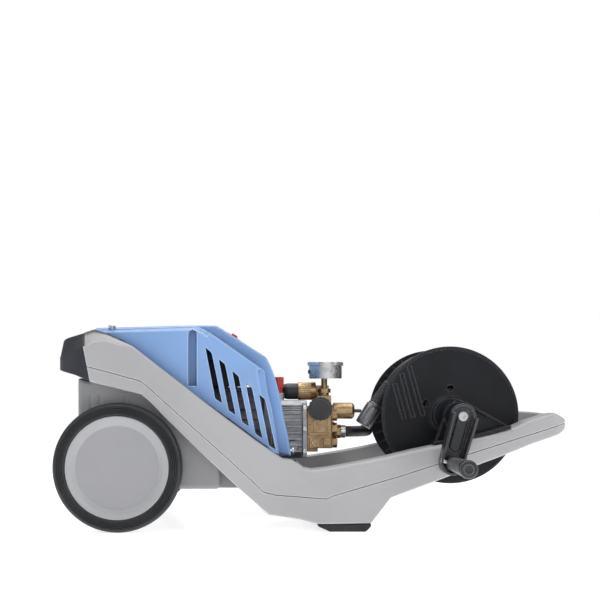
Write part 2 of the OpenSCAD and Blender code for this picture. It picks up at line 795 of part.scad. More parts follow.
module hose_union() {
    color([0.28, 0.28, 0.30]) tail_place(union_at) difference() {
        union() {
            cylinder(r = 12, h = 5);
            translate([0, 0, 4]) cylinder(r = 13.5, h = union_len - 4);
        }
        translate([0, 0, 18]) cylinder(r = 10.5, h = 40);
        translate([0, 0, 3]) cylinder(r = 4, h = 40, $fn = 48);
        for (a = [0:30:330]) rotate(a) translate([14.4, 0, 6]) cylinder(r = 1.6, h = 26, $fn = 16);
    }
}

frame_upper();
frame_lower();
frame_liner();
tub();
rear_bumper();
hood();
hood_screws();
cross_member();
front_foot();
axle();
left_tyre();
left_rim();
right_tyre();
right_rim();
motor_housing();
motor_front_bell();
fan_cover();
terminal_box();
motor_mounts();
motor_bearings();
rotor_shaft();
cooling_fan();
crankcase();
swash_plate();
plungers();
pump_head();
valve_plugs();
oil_cap();
unloader_body();
unloader_spindle();
pressure_knob();
tee_block();
gauge_stem();
gauge_case();
gauge_dial();
gauge_needle();
gauge_glass();
suction_union();
suction_elbow();
outlet_fitting();
link_hose();
link_ferrules();
reel_bracket_right();
reel_bracket_left();
reel_swivel();
reel_drum();
reel_flange_right();
reel_flange_left();
crank_arm();
crank_screw();
grip_pin();
grip_spindle();
crank_grip();
hose_coil();
hose_tail();
hose_sleeve();
hose_union();
switch_base();
switch_knob();
cable_gland();
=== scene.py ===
import json
import math

import bmesh
import bpy
from mathutils import Matrix, Vector


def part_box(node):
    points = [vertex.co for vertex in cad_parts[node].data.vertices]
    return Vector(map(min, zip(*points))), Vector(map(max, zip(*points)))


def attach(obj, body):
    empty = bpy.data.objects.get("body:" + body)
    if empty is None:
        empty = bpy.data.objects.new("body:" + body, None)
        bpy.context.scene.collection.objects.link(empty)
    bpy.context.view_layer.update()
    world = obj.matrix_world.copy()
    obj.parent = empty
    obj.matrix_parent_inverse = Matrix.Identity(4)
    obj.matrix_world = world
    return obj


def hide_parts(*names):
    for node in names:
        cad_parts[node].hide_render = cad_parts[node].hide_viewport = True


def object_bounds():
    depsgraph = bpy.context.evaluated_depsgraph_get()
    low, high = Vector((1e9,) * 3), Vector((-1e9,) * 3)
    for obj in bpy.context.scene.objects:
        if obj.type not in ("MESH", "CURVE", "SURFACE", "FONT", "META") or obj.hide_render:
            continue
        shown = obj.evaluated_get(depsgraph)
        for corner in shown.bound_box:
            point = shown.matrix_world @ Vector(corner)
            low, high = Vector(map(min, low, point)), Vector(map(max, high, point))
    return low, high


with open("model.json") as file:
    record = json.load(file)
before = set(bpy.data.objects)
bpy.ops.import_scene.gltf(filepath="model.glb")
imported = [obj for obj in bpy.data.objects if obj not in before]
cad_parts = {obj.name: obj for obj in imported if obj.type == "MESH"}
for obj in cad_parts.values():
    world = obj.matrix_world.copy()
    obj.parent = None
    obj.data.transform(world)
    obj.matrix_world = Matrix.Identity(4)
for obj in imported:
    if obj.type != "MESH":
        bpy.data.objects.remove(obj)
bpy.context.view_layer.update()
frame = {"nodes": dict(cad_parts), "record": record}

MM = 0.001
TAU = 2 * math.pi
scene = bpy.context.scene
record = frame["record"]
SLOT = {s["node"]: s["material_slot"] for s in record["subparts"]}
BODY = {n: body for body, nodes in record["behaviour"]["bodies"].items() for n in nodes}


def mid(node):
    """Middle of a CAD node's box, in millimetres."""
    low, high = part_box(node)
    return (Vector(low) + Vector(high)) * 0.5 / MM


def tall(node):
    """Height of a CAD node's box, in millimetres."""
    low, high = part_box(node)
    return (high[2] - low[2]) / MM


def linked(name, data):
    """A new object in the scene."""
    made = bpy.data.objects.new(name, data)
    scene.collection.objects.link(made)
    return made


# ---------- camera ----------
# The photo's focal length and width in pixels give the lens for any sensor.
FOCAL_PX, PHOTO_PX = 956, 600
SENSOR = 36.0
lens_data = bpy.data.cameras.new("camera")
lens_data.sensor_fit = "HORIZONTAL"
lens_data.sensor_width = SENSOR
lens_data.lens = SENSOR * FOCAL_PX / PHOTO_PX
lens_data.shift_x = 0.0833
lens_data.shift_y = 0.1517
camera = linked("camera", lens_data)
camera.location = (-0.1471, -1.6, 0.2115)
camera.rotation_euler = (math.radians(90), 0, 0)
scene.camera = camera


# ---------- materials ----------
class Wiring:
    """A node tree; values given to its nodes are constants or other nodes' outputs."""

    def __init__(self, tree):
        self.tree = tree

    def feed(self, socket, value):
        if isinstance(value, bpy.types.NodeSocket):
            self.tree.links.new(value, socket)
        else:
            socket.default_value = value

    def add(self, kind, inputs=(), **settings):
        node = self.tree.nodes.new(kind)
        for key, value in settings.items():
            setattr(node, key, value)
        for key, value in dict(inputs).items():
            self.feed(node.inputs[key], value)
        return node

    def calc(self, operation, *values):
        return self.add("ShaderNodeMath", dict(enumerate(values)), operation=operation).outputs[0]

    def spread(self, value, low, high, start=0.3, end=0.7):
        """The value's range from start to end, mapped to low to high."""
        return self.add("ShaderNodeMapRange", {
            "Value": value, "From Min": start, "From Max": end, "To Min": low, "To Max": high,
        }).outputs["Result"]


class Graph(Wiring):
    """A material's nodes, textured by the place on the object."""

    def __init__(self, name):
        self.material = bpy.data.materials.new(name)
        self.material.use_nodes = True
        super().__init__(self.material.node_tree)
        self.shader = self.tree.nodes["Principled BSDF"]
        self.place = self.add("ShaderNodeTexCoord").outputs["Object"]

    def noise(self, scale, detail=3.0, stretch=None, distortion=0.0):
        place = self.place
        if stretch:
            place = self.add("ShaderNodeMapping", {"Vector": place, "Scale": stretch}).outputs[0]
        return self.add("ShaderNodeTexNoise", {
            "Vector": place, "Scale": scale, "Detail": detail, "Distortion": distortion,
        }).outputs["Fac"]

    def ramp(self, value, *stops):
        node = self.add("ShaderNodeValToRGB", {"Fac": value})
        for element, (at, colour) in zip(node.color_ramp.elements, stops):
            element.position = at
            element.color = (*colour, 1.0)
        return node.outputs["Color"]

    def mix(self, factor, a, b):
        """Colour a where the factor is 0 and b where it is 1."""
        a, b = ((*colour, 1.0) if isinstance(colour, tuple) else colour for colour in (a, b))
        return self.add("ShaderNodeMix", {0: factor, 6: a, 7: b}, data_type="RGBA").outputs[2]

    def edges(self, radius):
        """Where the surface turns sharply within a radius, from 0 to 1."""
        soft = self.add("ShaderNodeBevel", {"Radius": radius}, samples=3).outputs["Normal"]
        hard = self.add("ShaderNodeNewGeometry").outputs["Normal"]
        dot = self.add("ShaderNodeVectorMath", {0: soft, 1: hard}, operation="DOT_PRODUCT")
        return self.spread(self.calc("SUBTRACT", 1.0, dot.outputs["Value"]), 0.0, 1.0, 0.02, 0.16)

    def bump(self, height, distance):
        return self.add("ShaderNodeBump", {"Height": height, "Distance": distance}).outputs[0]

    def shade(self, **inputs):
        for key, value in inputs.items():
            self.feed(self.shader.inputs[key.replace("_", " ")], value)
        return self.material


def moulded(name, dark, light, rough, grain=0.00005, wear_and_highlight=None, wear_and_highlight_width=0.0016, dust=None,
            hollow=None, specular=0.5):
    """Moulded plastic: slow tint changes, a fine spark-eroded grain, lighter edges that are partly
    rubbed and partly painted highlight, and painted shade in recesses when hollow is given.
    """
    g = Graph(name)
    colour = g.ramp(g.noise(9.0, 4.0), (0.34, dark), (0.66, light))
    if dust:
        settled = g.spread(g.noise(34.0, 6.0), 0.0, 0.35, 0.52, 0.72)
        colour = g.mix(settled, colour, dust)
    # Painted shade: where ambient occlusion finds a recess, the colour turns towards the darker
    # hollow colour.
    if hollow:
        painted_shade_occlusion = g.add("ShaderNodeAmbientOcclusion", {"Distance": 0.034}, samples=6).outputs["AO"]
        colour = g.mix(g.spread(painted_shade_occlusion, 0.8, 0.0, 0.3, 0.76), colour, hollow)
    # Lighter colour on sharp edges: partly rubbed, partly painted highlight.
    if wear_and_highlight:
        colour = g.mix(g.edges(wear_and_highlight_width), colour, wear_and_highlight)
    sheen = g.spread(g.noise(60.0, 5.0), rough - 0.05, rough + 0.07)
    bump = g.bump(g.noise(900.0, 3.0), grain)
    return g.shade(Base_Color=colour, Roughness=sheen, Normal=bump, Specular_IOR_Level=specular)


def metal(name, dark, light, rough, grain=0.00002, stretch=None, wear_and_highlight=None, stain=None,
          metallic=1.0):
    """Metal: oxide tint in patches, machining or casting texture, brighter edges that are partly
    rubbed and partly painted highlight.
    """
    g = Graph(name)
    colour = g.ramp(g.noise(30.0, 5.0), (0.32, dark), (0.68, light))
    if stain:
        patches = g.spread(g.noise(85.0, 6.0, distortion=0.6), 0.0, 0.6, 0.5, 0.75)
        colour = g.mix(patches, colour, stain)
    # Lighter colour on sharp edges: partly rubbed, partly painted highlight.
    if wear_and_highlight:
        colour = g.mix(g.edges(0.0009), colour, wear_and_highlight)
    sheen = g.spread(g.noise(140.0, 4.0), rough - 0.06, rough + 0.1)
    bump = g.bump(g.noise(420.0, 4.0, stretch), grain)
    return g.shade(Base_Color=colour, Roughness=sheen, Metallic=metallic, Normal=bump)


def rubber(name, dark, light, rough=0.62):
    """Rubber: a matt skin with a dry bloom and small pits."""
    g = Graph(name)
    bloom = g.ramp(g.noise(18.0, 6.0), (0.36, dark), (0.72, light))
    sheen = g.spread(g.noise(45.0, 4.0), rough - 0.08, rough + 0.1)
    pits = g.bump(g.noise(650.0, 2.0), 0.00008)
    return g.shade(Base_Color=bloom, Roughness=sheen, Normal=pits)


def hose_skin(name):
    """Smooth black hose cover with the fine wrapped pattern that curing tape leaves."""
    g = Graph(name)
    colour = g.ramp(g.noise(26.0, 5.0), (0.35, (0.010, 0.010, 0.012)), (0.7, (0.022, 0.022, 0.025)))
    wrap = g.noise(1500.0, 1.0, (1.0, 0.25, 1.0))
    sheen = g.spread(g.noise(90.0, 3.0), 0.3, 0.46)
    return g.shade(Base_Color=colour, Roughness=sheen, Normal=g.bump(wrap, 0.00005))


def glass(name):
    """Clear plate glass, faintly smeared."""
    g = Graph(name)
    smear = g.spread(g.noise(70.0, 4.0), 0.02, 0.09)
    tint = g.ramp(g.noise(12.0, 2.0), (0.4, (0.97, 0.98, 0.98)), (0.6, (0.99, 0.99, 0.99)))
    return g.shade(Base_Color=tint, Roughness=smear, IOR=1.45, Transmission_Weight=1.0,
                   Alpha=0.35, Normal=g.bump(g.noise(35.0), 0.00002))


def dial_print(name):
    """White dial with black scale marks on a ring, and a band of colour for high pressure."""
    g = Graph(name)
    centre = mid("gauge_dial") * MM
    away = g.add("ShaderNodeVectorMath", {0: g.place, 1: centre}, operation="SUBTRACT")
    x, y, _ = g.add("ShaderNodeSeparateXYZ", {0: away.outputs[0]}).outputs
    radius = g.calc("SQRT", g.calc("ADD", g.calc("MULTIPLY", x, x), g.calc("MULTIPLY", y, y)))
    angle = g.calc("ARCTAN2", y, x)

    def ring(inner, outer):
        return g.calc("MULTIPLY", g.calc("GREATER_THAN", radius, inner),
                      g.calc("LESS_THAN", radius, outer))

    marks = 40
    count = g.calc("MULTIPLY", g.calc("ADD", angle, TAU), marks / TAU)
    off_mark = g.calc("ABSOLUTE", g.calc("SUBTRACT", g.calc("FRACT", count), 0.5))
    ink = g.calc("MULTIPLY", g.calc("LESS_THAN", off_mark, 0.13), ring(0.0165, 0.0205))
    high = g.calc("LESS_THAN", g.calc("ABSOLUTE", angle), 0.7)
    paper = g.ramp(g.noise(60.0), (0.3, (0.74, 0.74, 0.72)), (0.7, (0.83, 0.83, 0.82)))
    print_colour = g.mix(g.calc("MULTIPLY", ring(0.0208, 0.0222), high),
                         g.mix(ink, paper, (0.02, 0.02, 0.02)), (0.5, 0.03, 0.03))
    return g.shade(Base_Color=print_colour, Roughness=0.45, Normal=g.bump(g.noise(500.0), 0.00001))


FINISH = {
    # Rail grey: its light edge colour is partly rubbed, partly painted highlight on the rounded
    # edges.
    "shell_grey": moulded("rail_plastic", (0.352, 0.350, 0.358), (0.378, 0.376, 0.384), 0.40,
                          wear_and_highlight=(0.70, 0.70, 0.72), wear_and_highlight_width=0.0022),
    "tub_grey": moulded("tub_plastic", (0.25, 0.25, 0.26), (0.28, 0.28, 0.29), 0.44,
                        wear_and_highlight=(0.50, 0.50, 0.52)),
    "trim_dark": moulded("trim_plastic", (0.017, 0.019, 0.026), (0.026, 0.028, 0.036), 0.44,
                         wear_and_highlight=(0.10, 0.105, 0.12), specular=0.35),
    "liner_black": moulded("liner_plastic", (0.020, 0.021, 0.025), (0.032, 0.033, 0.037), 0.6,
                           dust=(0.06, 0.06, 0.065), specular=0.35),
    # Hood blue: hollow is painted shade, darker blue laid into its recesses by ambient occlusion;
    # its pale edge colour is partly rubbed, partly painted highlight.
    "hood_blue": moulded("hood_plastic", (0.185, 0.325, 0.590), (0.208, 0.350, 0.630), 0.36,
                         wear_and_highlight=(0.55, 0.68, 0.90), wear_and_highlight_width=0.0026,
                         hollow=(0.055, 0.125, 0.300)),
    "zinc_steel": metal("zinc_plate", (0.52, 0.53, 0.56), (0.66, 0.67, 0.70), 0.3,
                        stretch=(1.0, 6.0, 6.0)),
    "foot_rubber": rubber("foot_rubber", (0.008, 0.008, 0.009), (0.022, 0.022, 0.024)),
    "tyre_rubber": rubber("tyre_rubber", (0.009, 0.010, 0.012), (0.020, 0.021, 0.025), 0.5),
    "rim_grey": moulded("rim_plastic", (0.355, 0.355, 0.367), (0.38, 0.38, 0.392), 0.36,
                        wear_and_highlight=(0.6, 0.6, 0.62)),
    "cast_aluminium": metal("cast_aluminium", (0.31, 0.31, 0.33), (0.46, 0.46, 0.48), 0.5,
                            grain=0.00022, wear_and_highlight=(0.6, 0.61, 0.63), stain=(0.20, 0.20, 0.215),
                            metallic=0.8),
    "brass": metal("brass", (0.30, 0.20, 0.105), (0.52, 0.365, 0.205), 0.36,
                   grain=0.00012, wear_and_highlight=(0.86, 0.70, 0.46), stain=(0.20, 0.13, 0.075)),
    "black_plastic": moulded("black_plastic", (0.014, 0.014, 0.016), (0.026, 0.026, 0.029), 0.4,
                             wear_and_highlight=(0.09, 0.09, 0.10)),
    # Reel and crank blacks: their grey edge colour is painted highlight along the rims.
    "reel_black": moulded("reel_plastic", (0.0075, 0.008, 0.0105), (0.013, 0.0135, 0.017), 0.36,
                          grain=0.00004, wear_and_highlight=(0.13, 0.13, 0.145), specular=0.2),
    "arm_black": moulded("arm_plastic", (0.014, 0.015, 0.018), (0.024, 0.025, 0.029), 0.3,
                         wear_and_highlight=(0.24, 0.24, 0.255)),
    "red_plastic": moulded("red_plastic", (0.40, 0.018, 0.020), (0.52, 0.035, 0.035), 0.36,
                           wear_and_highlight=(0.72, 0.14, 0.13)),
    "dark_steel": metal("dark_steel", (0.07, 0.07, 0.075), (0.14, 0.14, 0.15), 0.36,
                        wear_and_highlight=(0.42, 0.42, 0.43)),
    "gauge_chrome": metal("gauge_chrome", (0.55, 0.55, 0.56), (0.70, 0.70, 0.71), 0.27,
                          stretch=(1.0, 1.0, 8.0), wear_and_highlight=(0.92, 0.92, 0.92)),
    "dial_white": dial_print("dial_print"),
    "needle_red": moulded("needle_lacquer", (0.42, 0.02, 0.02), (0.52, 0.03, 0.03), 0.3),
    "clear_glass": glass("gauge_glass"),
    "hose_black": hose_skin("hose_cover"),
    "union_grey": metal("union_plate", (0.10, 0.10, 0.11), (0.19, 0.19, 0.20), 0.34,
                        wear_and_highlight=(0.5, 0.5, 0.51), metallic=0.85),
}
# Painted shade: the rim's flat disc is a darker copy of the rim grey, for the disc sunk below the
# raised ring.
SHADED_RIM_DISC = moulded("rim_disc_shaded", (0.305, 0.305, 0.318), (0.33, 0.33, 0.342), 0.34)
IVORY = moulded("ivory_seal", (0.55, 0.51, 0.42), (0.66, 0.62, 0.52), 0.45)


# ---------- building helpers ----------
def object_from(bm, name, material, smooth=32.0):
    """A linked object from a bmesh in metres; edges sharper than smooth degrees stay sharp."""
    bmesh.ops.recalc_face_normals(bm, faces=bm.faces)
    mesh = bpy.data.meshes.new(name)
    for face in bm.faces:
        face.smooth = True
    for edge in bm.edges:
        edge.smooth = not (edge.is_manifold and edge.calc_face_angle(0) > math.radians(smooth))
    bm.to_mesh(mesh)
    bm.free()
    mesh.materials.append(material)
    return linked(name, mesh)


def settle(piece, node, *more):
    """The piece stands for a CAD node and rides on its body; the node and the more named are
    hidden.
    """
    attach(piece, BODY[node])
    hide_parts(node, *more)
    return piece


def join(name, *pieces):
    """Several objects' meshes as one object."""
    bm = bmesh.new()
    materials = []
    for piece in pieces:
        part = piece.data.copy()
        part.transform(piece.matrix_world)
        first = len(bm.faces)
        bm.from_mesh(part)
        bm.faces.ensure_lookup_table()
        for face in bm.faces[first:]:
            material = piece.data.materials[face.material_index]
            if material not in materials:
                materials.append(material)
            face.material_index = materials.index(material)
    mesh = bpy.data.meshes.new(name)
    bm.to_mesh(mesh)
    bm.free()
    for material in materials:
        mesh.materials.append(material)
    for piece in pieces:
        bpy.data.objects.remove(piece)
    return linked(name, mesh)


def applied(piece, kind, **settings):
    """The piece with one modifier applied."""
    modifier = piece.modifiers.new(kind, kind)
    for key, value in settings.items():
        setattr(modifier, key, value)
    graph = bpy.context.evaluated_depsgraph_get()
    mesh = bpy.data.meshes.new_from_object(piece.evaluated_get(graph))
    piece.modifiers.clear()
    old = piece.data
    piece.data = mesh
    bpy.data.meshes.remove(old)
    return piece


def rounded(piece, width, angle=30.0, segments=2):
    """Every edge sharper than angle gets a bevel of that many millimetres."""
    return applied(piece, "BEVEL", width=width * MM, segments=segments, limit_method="ANGLE",
                   angle_limit=math.radians(angle), use_clamp_overlap=False,
                   miter_outer="MITER_ARC", harden_normals=False)


def even_normals(piece, angle=32.0, crease=None):
    """Flat faces keep flat shading beside their rounded edges; crease picks shallow bends."""
    for polygon in piece.data.polygons:
        polygon.use_smooth = True
    piece.data.set_sharp_from_angle(angle=math.radians(angle))
    places = [v.co / MM for v in piece.data.vertices]
    for edge in piece.data.edges if crease else ():
        if all(crease(places[v]) for v in edge.vertices):
            edge.use_edge_sharp = True
    return applied(piece, "WEIGHTED_NORMAL", keep_sharp=True, weight=80)


def cut(piece, *tools):
    """The piece with each tool's volume taken away."""
    for tool in tools:
        applied(piece, "BOOLEAN", object=tool, operation="DIFFERENCE", solver="EXACT")
        bpy.data.objects.remove(tool)
    return piece


def fused(piece, *others):
    """The piece with each other volume added."""
    for other in others:
        applied(piece, "BOOLEAN", object=other, operation="UNION", solver="EXACT")
        bpy.data.objects.remove(other)
    return piece


def refined(node, width=0.5, angle=28.0, segments=2):
    """A copy of a CAD node with its machined or moulded edges broken."""
    bm = bmesh.new()
    bm.from_mesh(frame["nodes"][node].data)
    bmesh.ops.remove_doubles(bm, verts=bm.verts, dist=3e-6)
    bmesh.ops.dissolve_limit(bm, angle_limit=math.radians(1.0), verts=bm.verts, edges=bm.edges)
    piece = object_from(bm, node + "_detail", FINISH[SLOT[node]])
    rounded(piece, width, angle, segments)
    return even_normals(piece, 36.0)


def slab(rows, material, name):
    """A solid between two outlines with the same number of points, in metres."""
    bm = bmesh.new()
    first, last = [[bm.verts.new(p) for p in row] for row in rows]
    bm.faces.new(first)
    bm.faces.new(last[::-1])
    for i in range(len(first)):
        j = (i + 1) % len(first)
        bm.faces.new((first[i], last[i], last[j], first[j]))
    return object_from(bm, name, material)


def prism(outline, y0, y1, material, name="tool"):
    """An [x, z] outline in millimetres, from y0 to y1."""
    return slab([[(x * MM, y * MM, z * MM) for x, z in outline] for y in (y0, y1)], material, name)


def plate(outline, low, high, matrix, material, name="tool"):
    """A flat outline in a local plane, from one height to another."""
    return slab([[matrix @ Vector((x * MM, y * MM, h * MM)) for x, y in outline]
                 for h in (low, high)], material, name)


def bar(a, b, width, low, high, matrix, material):
    """A straight rib between two points of a local plane, with blunted ends."""
    a, b = Vector(a), Vector(b)
    run = (b - a).normalized()
    off = Vector((-run.y, run.x)) * width / 2
    tip = run * width * 0.4
    outline = [a - off, b - off, b - off * 0.3 + tip, b + off * 0.3 + tip,
               b + off, a + off, a + off * 0.3 - tip, a - off * 0.3 - tip]
    return slab([[matrix @ (Vector((p.x, p.y, h)) * MM) for p in outline]
                 for h in (low, high)], material, "bar")


def lathe(profile, axis, material, name="tool", steps=96, smooth=32.0):
    """A profile of (radius, height) in millimetres turned about a line; axis is its matrix."""
    bm = bmesh.new()
    rings = []
    for radius, height in profile:
        if radius < 1e-6:
            rings.append([bm.verts.new(axis @ Vector((0, 0, height * MM)))])
        else:
            rings.append([bm.verts.new(axis @ Vector((
                radius * MM * math.cos(TAU * i / steps),
                radius * MM * math.sin(TAU * i / steps), height * MM))) for i in range(steps)])
    for a, b in zip(rings, rings[1:]):
        for i in range(steps):
            j = (i + 1) % steps
            corners = [a[i % len(a)], a[j % len(a)], b[j % len(b)], b[i % len(b)]]
            unique = list(dict.fromkeys(corners))
            if len(unique) > 2:
                bm.faces.new(unique)
    return object_from(bm, name, material, smooth)


def bore(axis, radius, low, high, material, steps=40):
    """A cylinder to cut with."""
    return lathe([(0, low), (radius, low), (radius, high), (0, high)], axis, material, steps=steps)


def along(point, direction, up=(0, 0, 1)):
    """Matrix whose local Z is direction, at a point in millimetres."""
    z = Vector(direction).normalized()
    x = Vector(up).cross(z)
    if x.length < 1e-6:
        x = Vector((1, 0, 0))
    x.normalize()
    basis = Matrix((x, z.cross(x), z)).transposed().to_4x4()
    return Matrix.Translation(Vector(point) * MM) @ basis


def interpolate(table, x):
    """Value at x in a table of (x, value) with rising x."""
    if x <= table[0][0]:
        return table[0][1]
    for (x0, v0), (x1, v1) in zip(table, table[1:]):
        if x <= x1:
            return v0 + (v1 - v0) * (x - x0) / (x1 - x0)
    return table[-1][1]


# ---------- high-pressure hose ----------
HOSE_D = 12.0
REEL = mid("reel_flange_right")
REEL_X, REEL_Z = REEL.x, REEL.z
COIL_R = 48.3
COIL_HALF = 68.4
COIL_START = 20
LAYER_TURNS = 12
TURN_STEPS = 40
# The free end leaves the coil's top turn, rises to this radius and runs on straight.
END_R = 104
END_SWING = 128
HOSE_TAIL = 4


def about_reel(radius, degrees, y):
    a = math.radians(degrees)
    return Vector((REEL_X + radius * math.cos(a), y, REEL_Z + radius * math.sin(a)))


def ease(t):
    t = min(max(t, 0.0), 1.0)
    return t * t * (3 - 2 * t)


def hose_route():
    """Three full layers on the drum, two turns of a fourth, and the free end over them."""
    points = []
    for layer in range(3):
        side = COIL_HALF if layer % 2 == 0 else -COIL_HALF
        for i in range(LAYER_TURNS * TURN_STEPS):
            t = i / TURN_STEPS
            y = side * (1 - 2 * min(max((t - 0.5) / (LAYER_TURNS - 1), 0.0), 1.0))
            climb = HOSE_D * ease((t - LAYER_TURNS + 0.22) / 0.22)
            points.append(about_reel(COIL_R + HOSE_D * layer + climb,
                                     COIL_START + 360 * (LAYER_TURNS * layer + t), y))
    top = COIL_R + 3 * HOSE_D
    for i in range(2 * TURN_STEPS):
        t = i / TURN_STEPS
        points.append(about_reel(top, COIL_START + 360 * t, -COIL_HALF + 24.8 * t / 2))
    steps = 28
    for i in range(steps + 1):
        t = i / steps
        points.append(about_reel(top + (END_R - top) * ease(t), COIL_START + END_SWING * t,
                                 -43.6 + 8.6 * ease(t)))
    a = math.radians(COIL_START + END_SWING)
    for _ in range(HOSE_TAIL):
        points.append(points[-1] + Vector((-math.sin(a), 0, math.cos(a))) * 11)
    return points


def cord_curve(name, points, diameter, material):
    data = bpy.data.curves.new(name, "CURVE")
    data.dimensions = "3D"
    data.bevel_depth = diameter * MM / 2
    data.bevel_resolution = 4
    data.use_fill_caps = True
    line = data.splines.new("POLY")
    line.points.add(len(points) - 1)
    for slot, point in zip(line.points, points):
        slot.co = (*(point * MM), 1.0)
    line.use_smooth = True
    data.materials.append(material)
    return linked(name, data)


hose_points = hose_route()
hose = settle(cord_curve("high_pressure_hose", hose_points, HOSE_D, FINISH["hose_black"]),
              "hose_coil", "hose_tail")
HOSE_END = hose_points[-HOSE_TAIL - 1]
HOSE_DIR = (hose_points[-1] - HOSE_END).normalized()

LINK_D = 18.0
LINK_ROUTE = [Vector(p) for p in (
    (12.5, 0, 144), (20, 1, 144), (31, 5, 144), (42, 13, 144), (50, 25, 144), (54, 40, 144),
    (55, 56, 144), (55, 73, 144), (56, 90, 145), (60, 107, 147), (69, 123, 151), (83, 136, 157),
    (101, 145, 164), (121, 150, 170), (134, 151, 172.5), (147, 151, 173.5))]


def smooth_route(points, parts=5):
    """The same route with a rounded line between its points."""
    out = []
    for i in range(len(points) - 1):
        a, b = points[max(i - 1, 0)], points[i]
        c, d = points[i + 1], points[min(i + 2, len(points) - 1)]
        for k in range(parts):
            t = k / parts
            out.append(0.5 * ((2 * b) + (c - a) * t + (2 * a - 5 * b + 4 * c - d) * t ** 2
                              + (3 * b - a - 3 * c + d) * t ** 3))
    return [*out, points[-1]]


link_points = smooth_route(LINK_ROUTE)
link = settle(cord_curve("link_hose_tube", link_points, LINK_D, FINISH["hose_black"]), "link_hose")


# ---------- frame rails ----------
HALF = 172.0
HANDLE_HALF = 130.0
RAIL_W = 45.0
BEND_X = -27.0
THIN_END, WIDE_START, THIN_INNER = -168, -140, 150.4
TOP_LINE = [
    (-398, 299), (-383, 304), (-343, 294), (-241, 215), (-192, 177), (-140, 138), (-98, 109),
    (-84, 107), (-73, 101), (-65, 95), (-53, 93), (-35, 95), (3, 101), (56, 111), (117, 125),
    (195, 138), (252, 153), (282, 166), (322, 178), (341, 169), (345, 165),
]
LOW_LINE = [
    (-398, 227), (-386, 225), (-334, 212), (-310, 206), (-296, 194), (-274, 171), (-222, 120),
    (-162, 64), (-119, 26), (-72, 19), (-47, 12.5), (35, 12.5), (65, 50), (87, 58), (141, 77),
    (203, 100), (244, 114), (282, 129), (306, 137), (331, 145), (341, 151), (345, 156),
]
SEAM_LINE = [
    (-398, 250), (-391, 248), (-341, 235), (-310, 226), (-296, 214), (-244, 167), (-192, 121),
    (-140, 73), (-128, 61), (-110, 56), (-32, 50), (-25, 54), (79, 83), (187, 116), (266, 140),
    (339, 161.5), (345, 162),
]
# The outer face of the upper shell leans in by this much for each unit of height.
LEAN = 0.158
# How far the rounding of the top outer edge reaches down the side, and in across the top.
EDGE_DROP = [(-398, 22), (-390, 22), (-364, 13), (-344, 4), (-241, 4), (-100, 5), (-60, 7),
             (60, 8), (300, 7), (322, 6), (345, 3)]
EDGE_REACH = [(-398, 16), (-364, 15), (-344, 5), (-100, 5), (-60, 9), (300, 9), (345, 4)]
# The shells meet the rear cap along this sloping line.
REAR_END = [(226, -386.6), (277, -396.4), (299, -398.8)]


def knotted(tables, low, high, finest):
    """Every x where a table bends, with more between where they lie far apart."""
    knots = sorted({x for table in tables for x, _ in table if low <= x <= high} | {low, high})
    out = [knots[0]]
    for x in knots[1:]:
        gap = x - out[-1]
        if gap < 0.8:
            continue
        parts = max(1, math.ceil(gap / finest))
        out.extend(out[-1] + gap * (k + 1) / parts for k in range(parts))
    return out


def outer_half(x):
    """Half the frame's width over its rails."""
    return HALF if x < BEND_X else HALF - (x - BEND_X) * (HALF - HANDLE_HALF) / (345 - BEND_X)


def inner_half(x):
    """Half the gap between the rails; it narrows from beside the tub to the handle."""
    if x < THIN_END:
        return THIN_INNER
    if x < WIDE_START:
        return THIN_INNER + (x - THIN_END) / (WIDE_START - THIN_END) * (HALF - RAIL_W - THIN_INNER)
    if x < BEND_X:
        return HALF - RAIL_W
    return HALF - RAIL_W - (x - BEND_X) * 40 / 328


def rail_stations():
    """Outer and inner plan points, from the rear of the right rail round the handle."""
    bends = [(THIN_END, 0), (WIDE_START, 0), (BEND_X, 0)] + [(x, 0) for x in range(-82, -26, 5)]
    side = [((x, -outer_half(x)), (x, -inner_half(x)))
            for x in knotted([TOP_LINE, LOW_LINE, SEAM_LINE, bends], -397, 300, 26)]
    corner = [
        ((311, -133.9), (301, -87)), ((319, -132.7), (302.5, -86.4)),
        ((325, -130.6), (304, -85.6)), ((331, -126.8), (306, -84.2)),
        ((337, -121.4), (308.5, -81.8)), ((341.5, -115.8), (311, -79.4)),
        ((344.2, -110), (313, -76.8)), ((345, -104), (314.4, -74)),
    ]
    half = side + corner + [((345, y), (315, y * 0.72)) for y in (-92, -60, -30)]
    mirrored = [((a[0], -a[1]), (b[0], -b[1])) for a, b in reversed(half)]
    return half + [((345, 0), (315, 0))] + mirrored


STATIONS = rail_stations()
# Half the seam groove's section: how far in, and how far above or below the seam.
GROOVE = [(2.6, 0.45), (0.9, 0.45), (0.35, 0.7), (0.0, 1.5)]
# The slanting crease passes this point of the outer face and runs back this far per unit of rise.
CREASE_X, CREASE_Z, CREASE_RUN = -28, 52.5, 1.4


def on_upper_crease(p):
    slant = p.x - CREASE_X + CREASE_RUN * (p.z - CREASE_Z)
    return abs(slant) < 0.4 and abs(p.y) > 150 and p.z < 110


def on_lower_crease(p):
    return abs(p.x - BEND_X) < 0.4 and abs(p.y) > 150


def lean_in(bm):
    """Forward of a slanting crease, the upper shell's outer face leans in towards its top."""
    bmesh.ops.bisect_plane(bm, geom=[*bm.verts, *bm.edges, *bm.faces], dist=0.00002,
                           plane_co=(CREASE_X * MM, 0, CREASE_Z * MM),
                           plane_no=(1, 0, CREASE_RUN))
    for v in bm.verts:
        x, y, z = v.co / MM
        rise = CREASE_RUN * max(z - interpolate(SEAM_LINE, x), 0)
        lean = max(0.0, min(x - CREASE_X + rise, rise)) * LEAN / CREASE_RUN
        outer = interpolate([(0, 0), (RAIL_W, 1)], RAIL_W - (outer_half(x) - abs(y)))
        lean *= outer * interpolate([(250, 1), (320, 0)], x)
        v.co.y -= math.copysign(lean * MM, y)


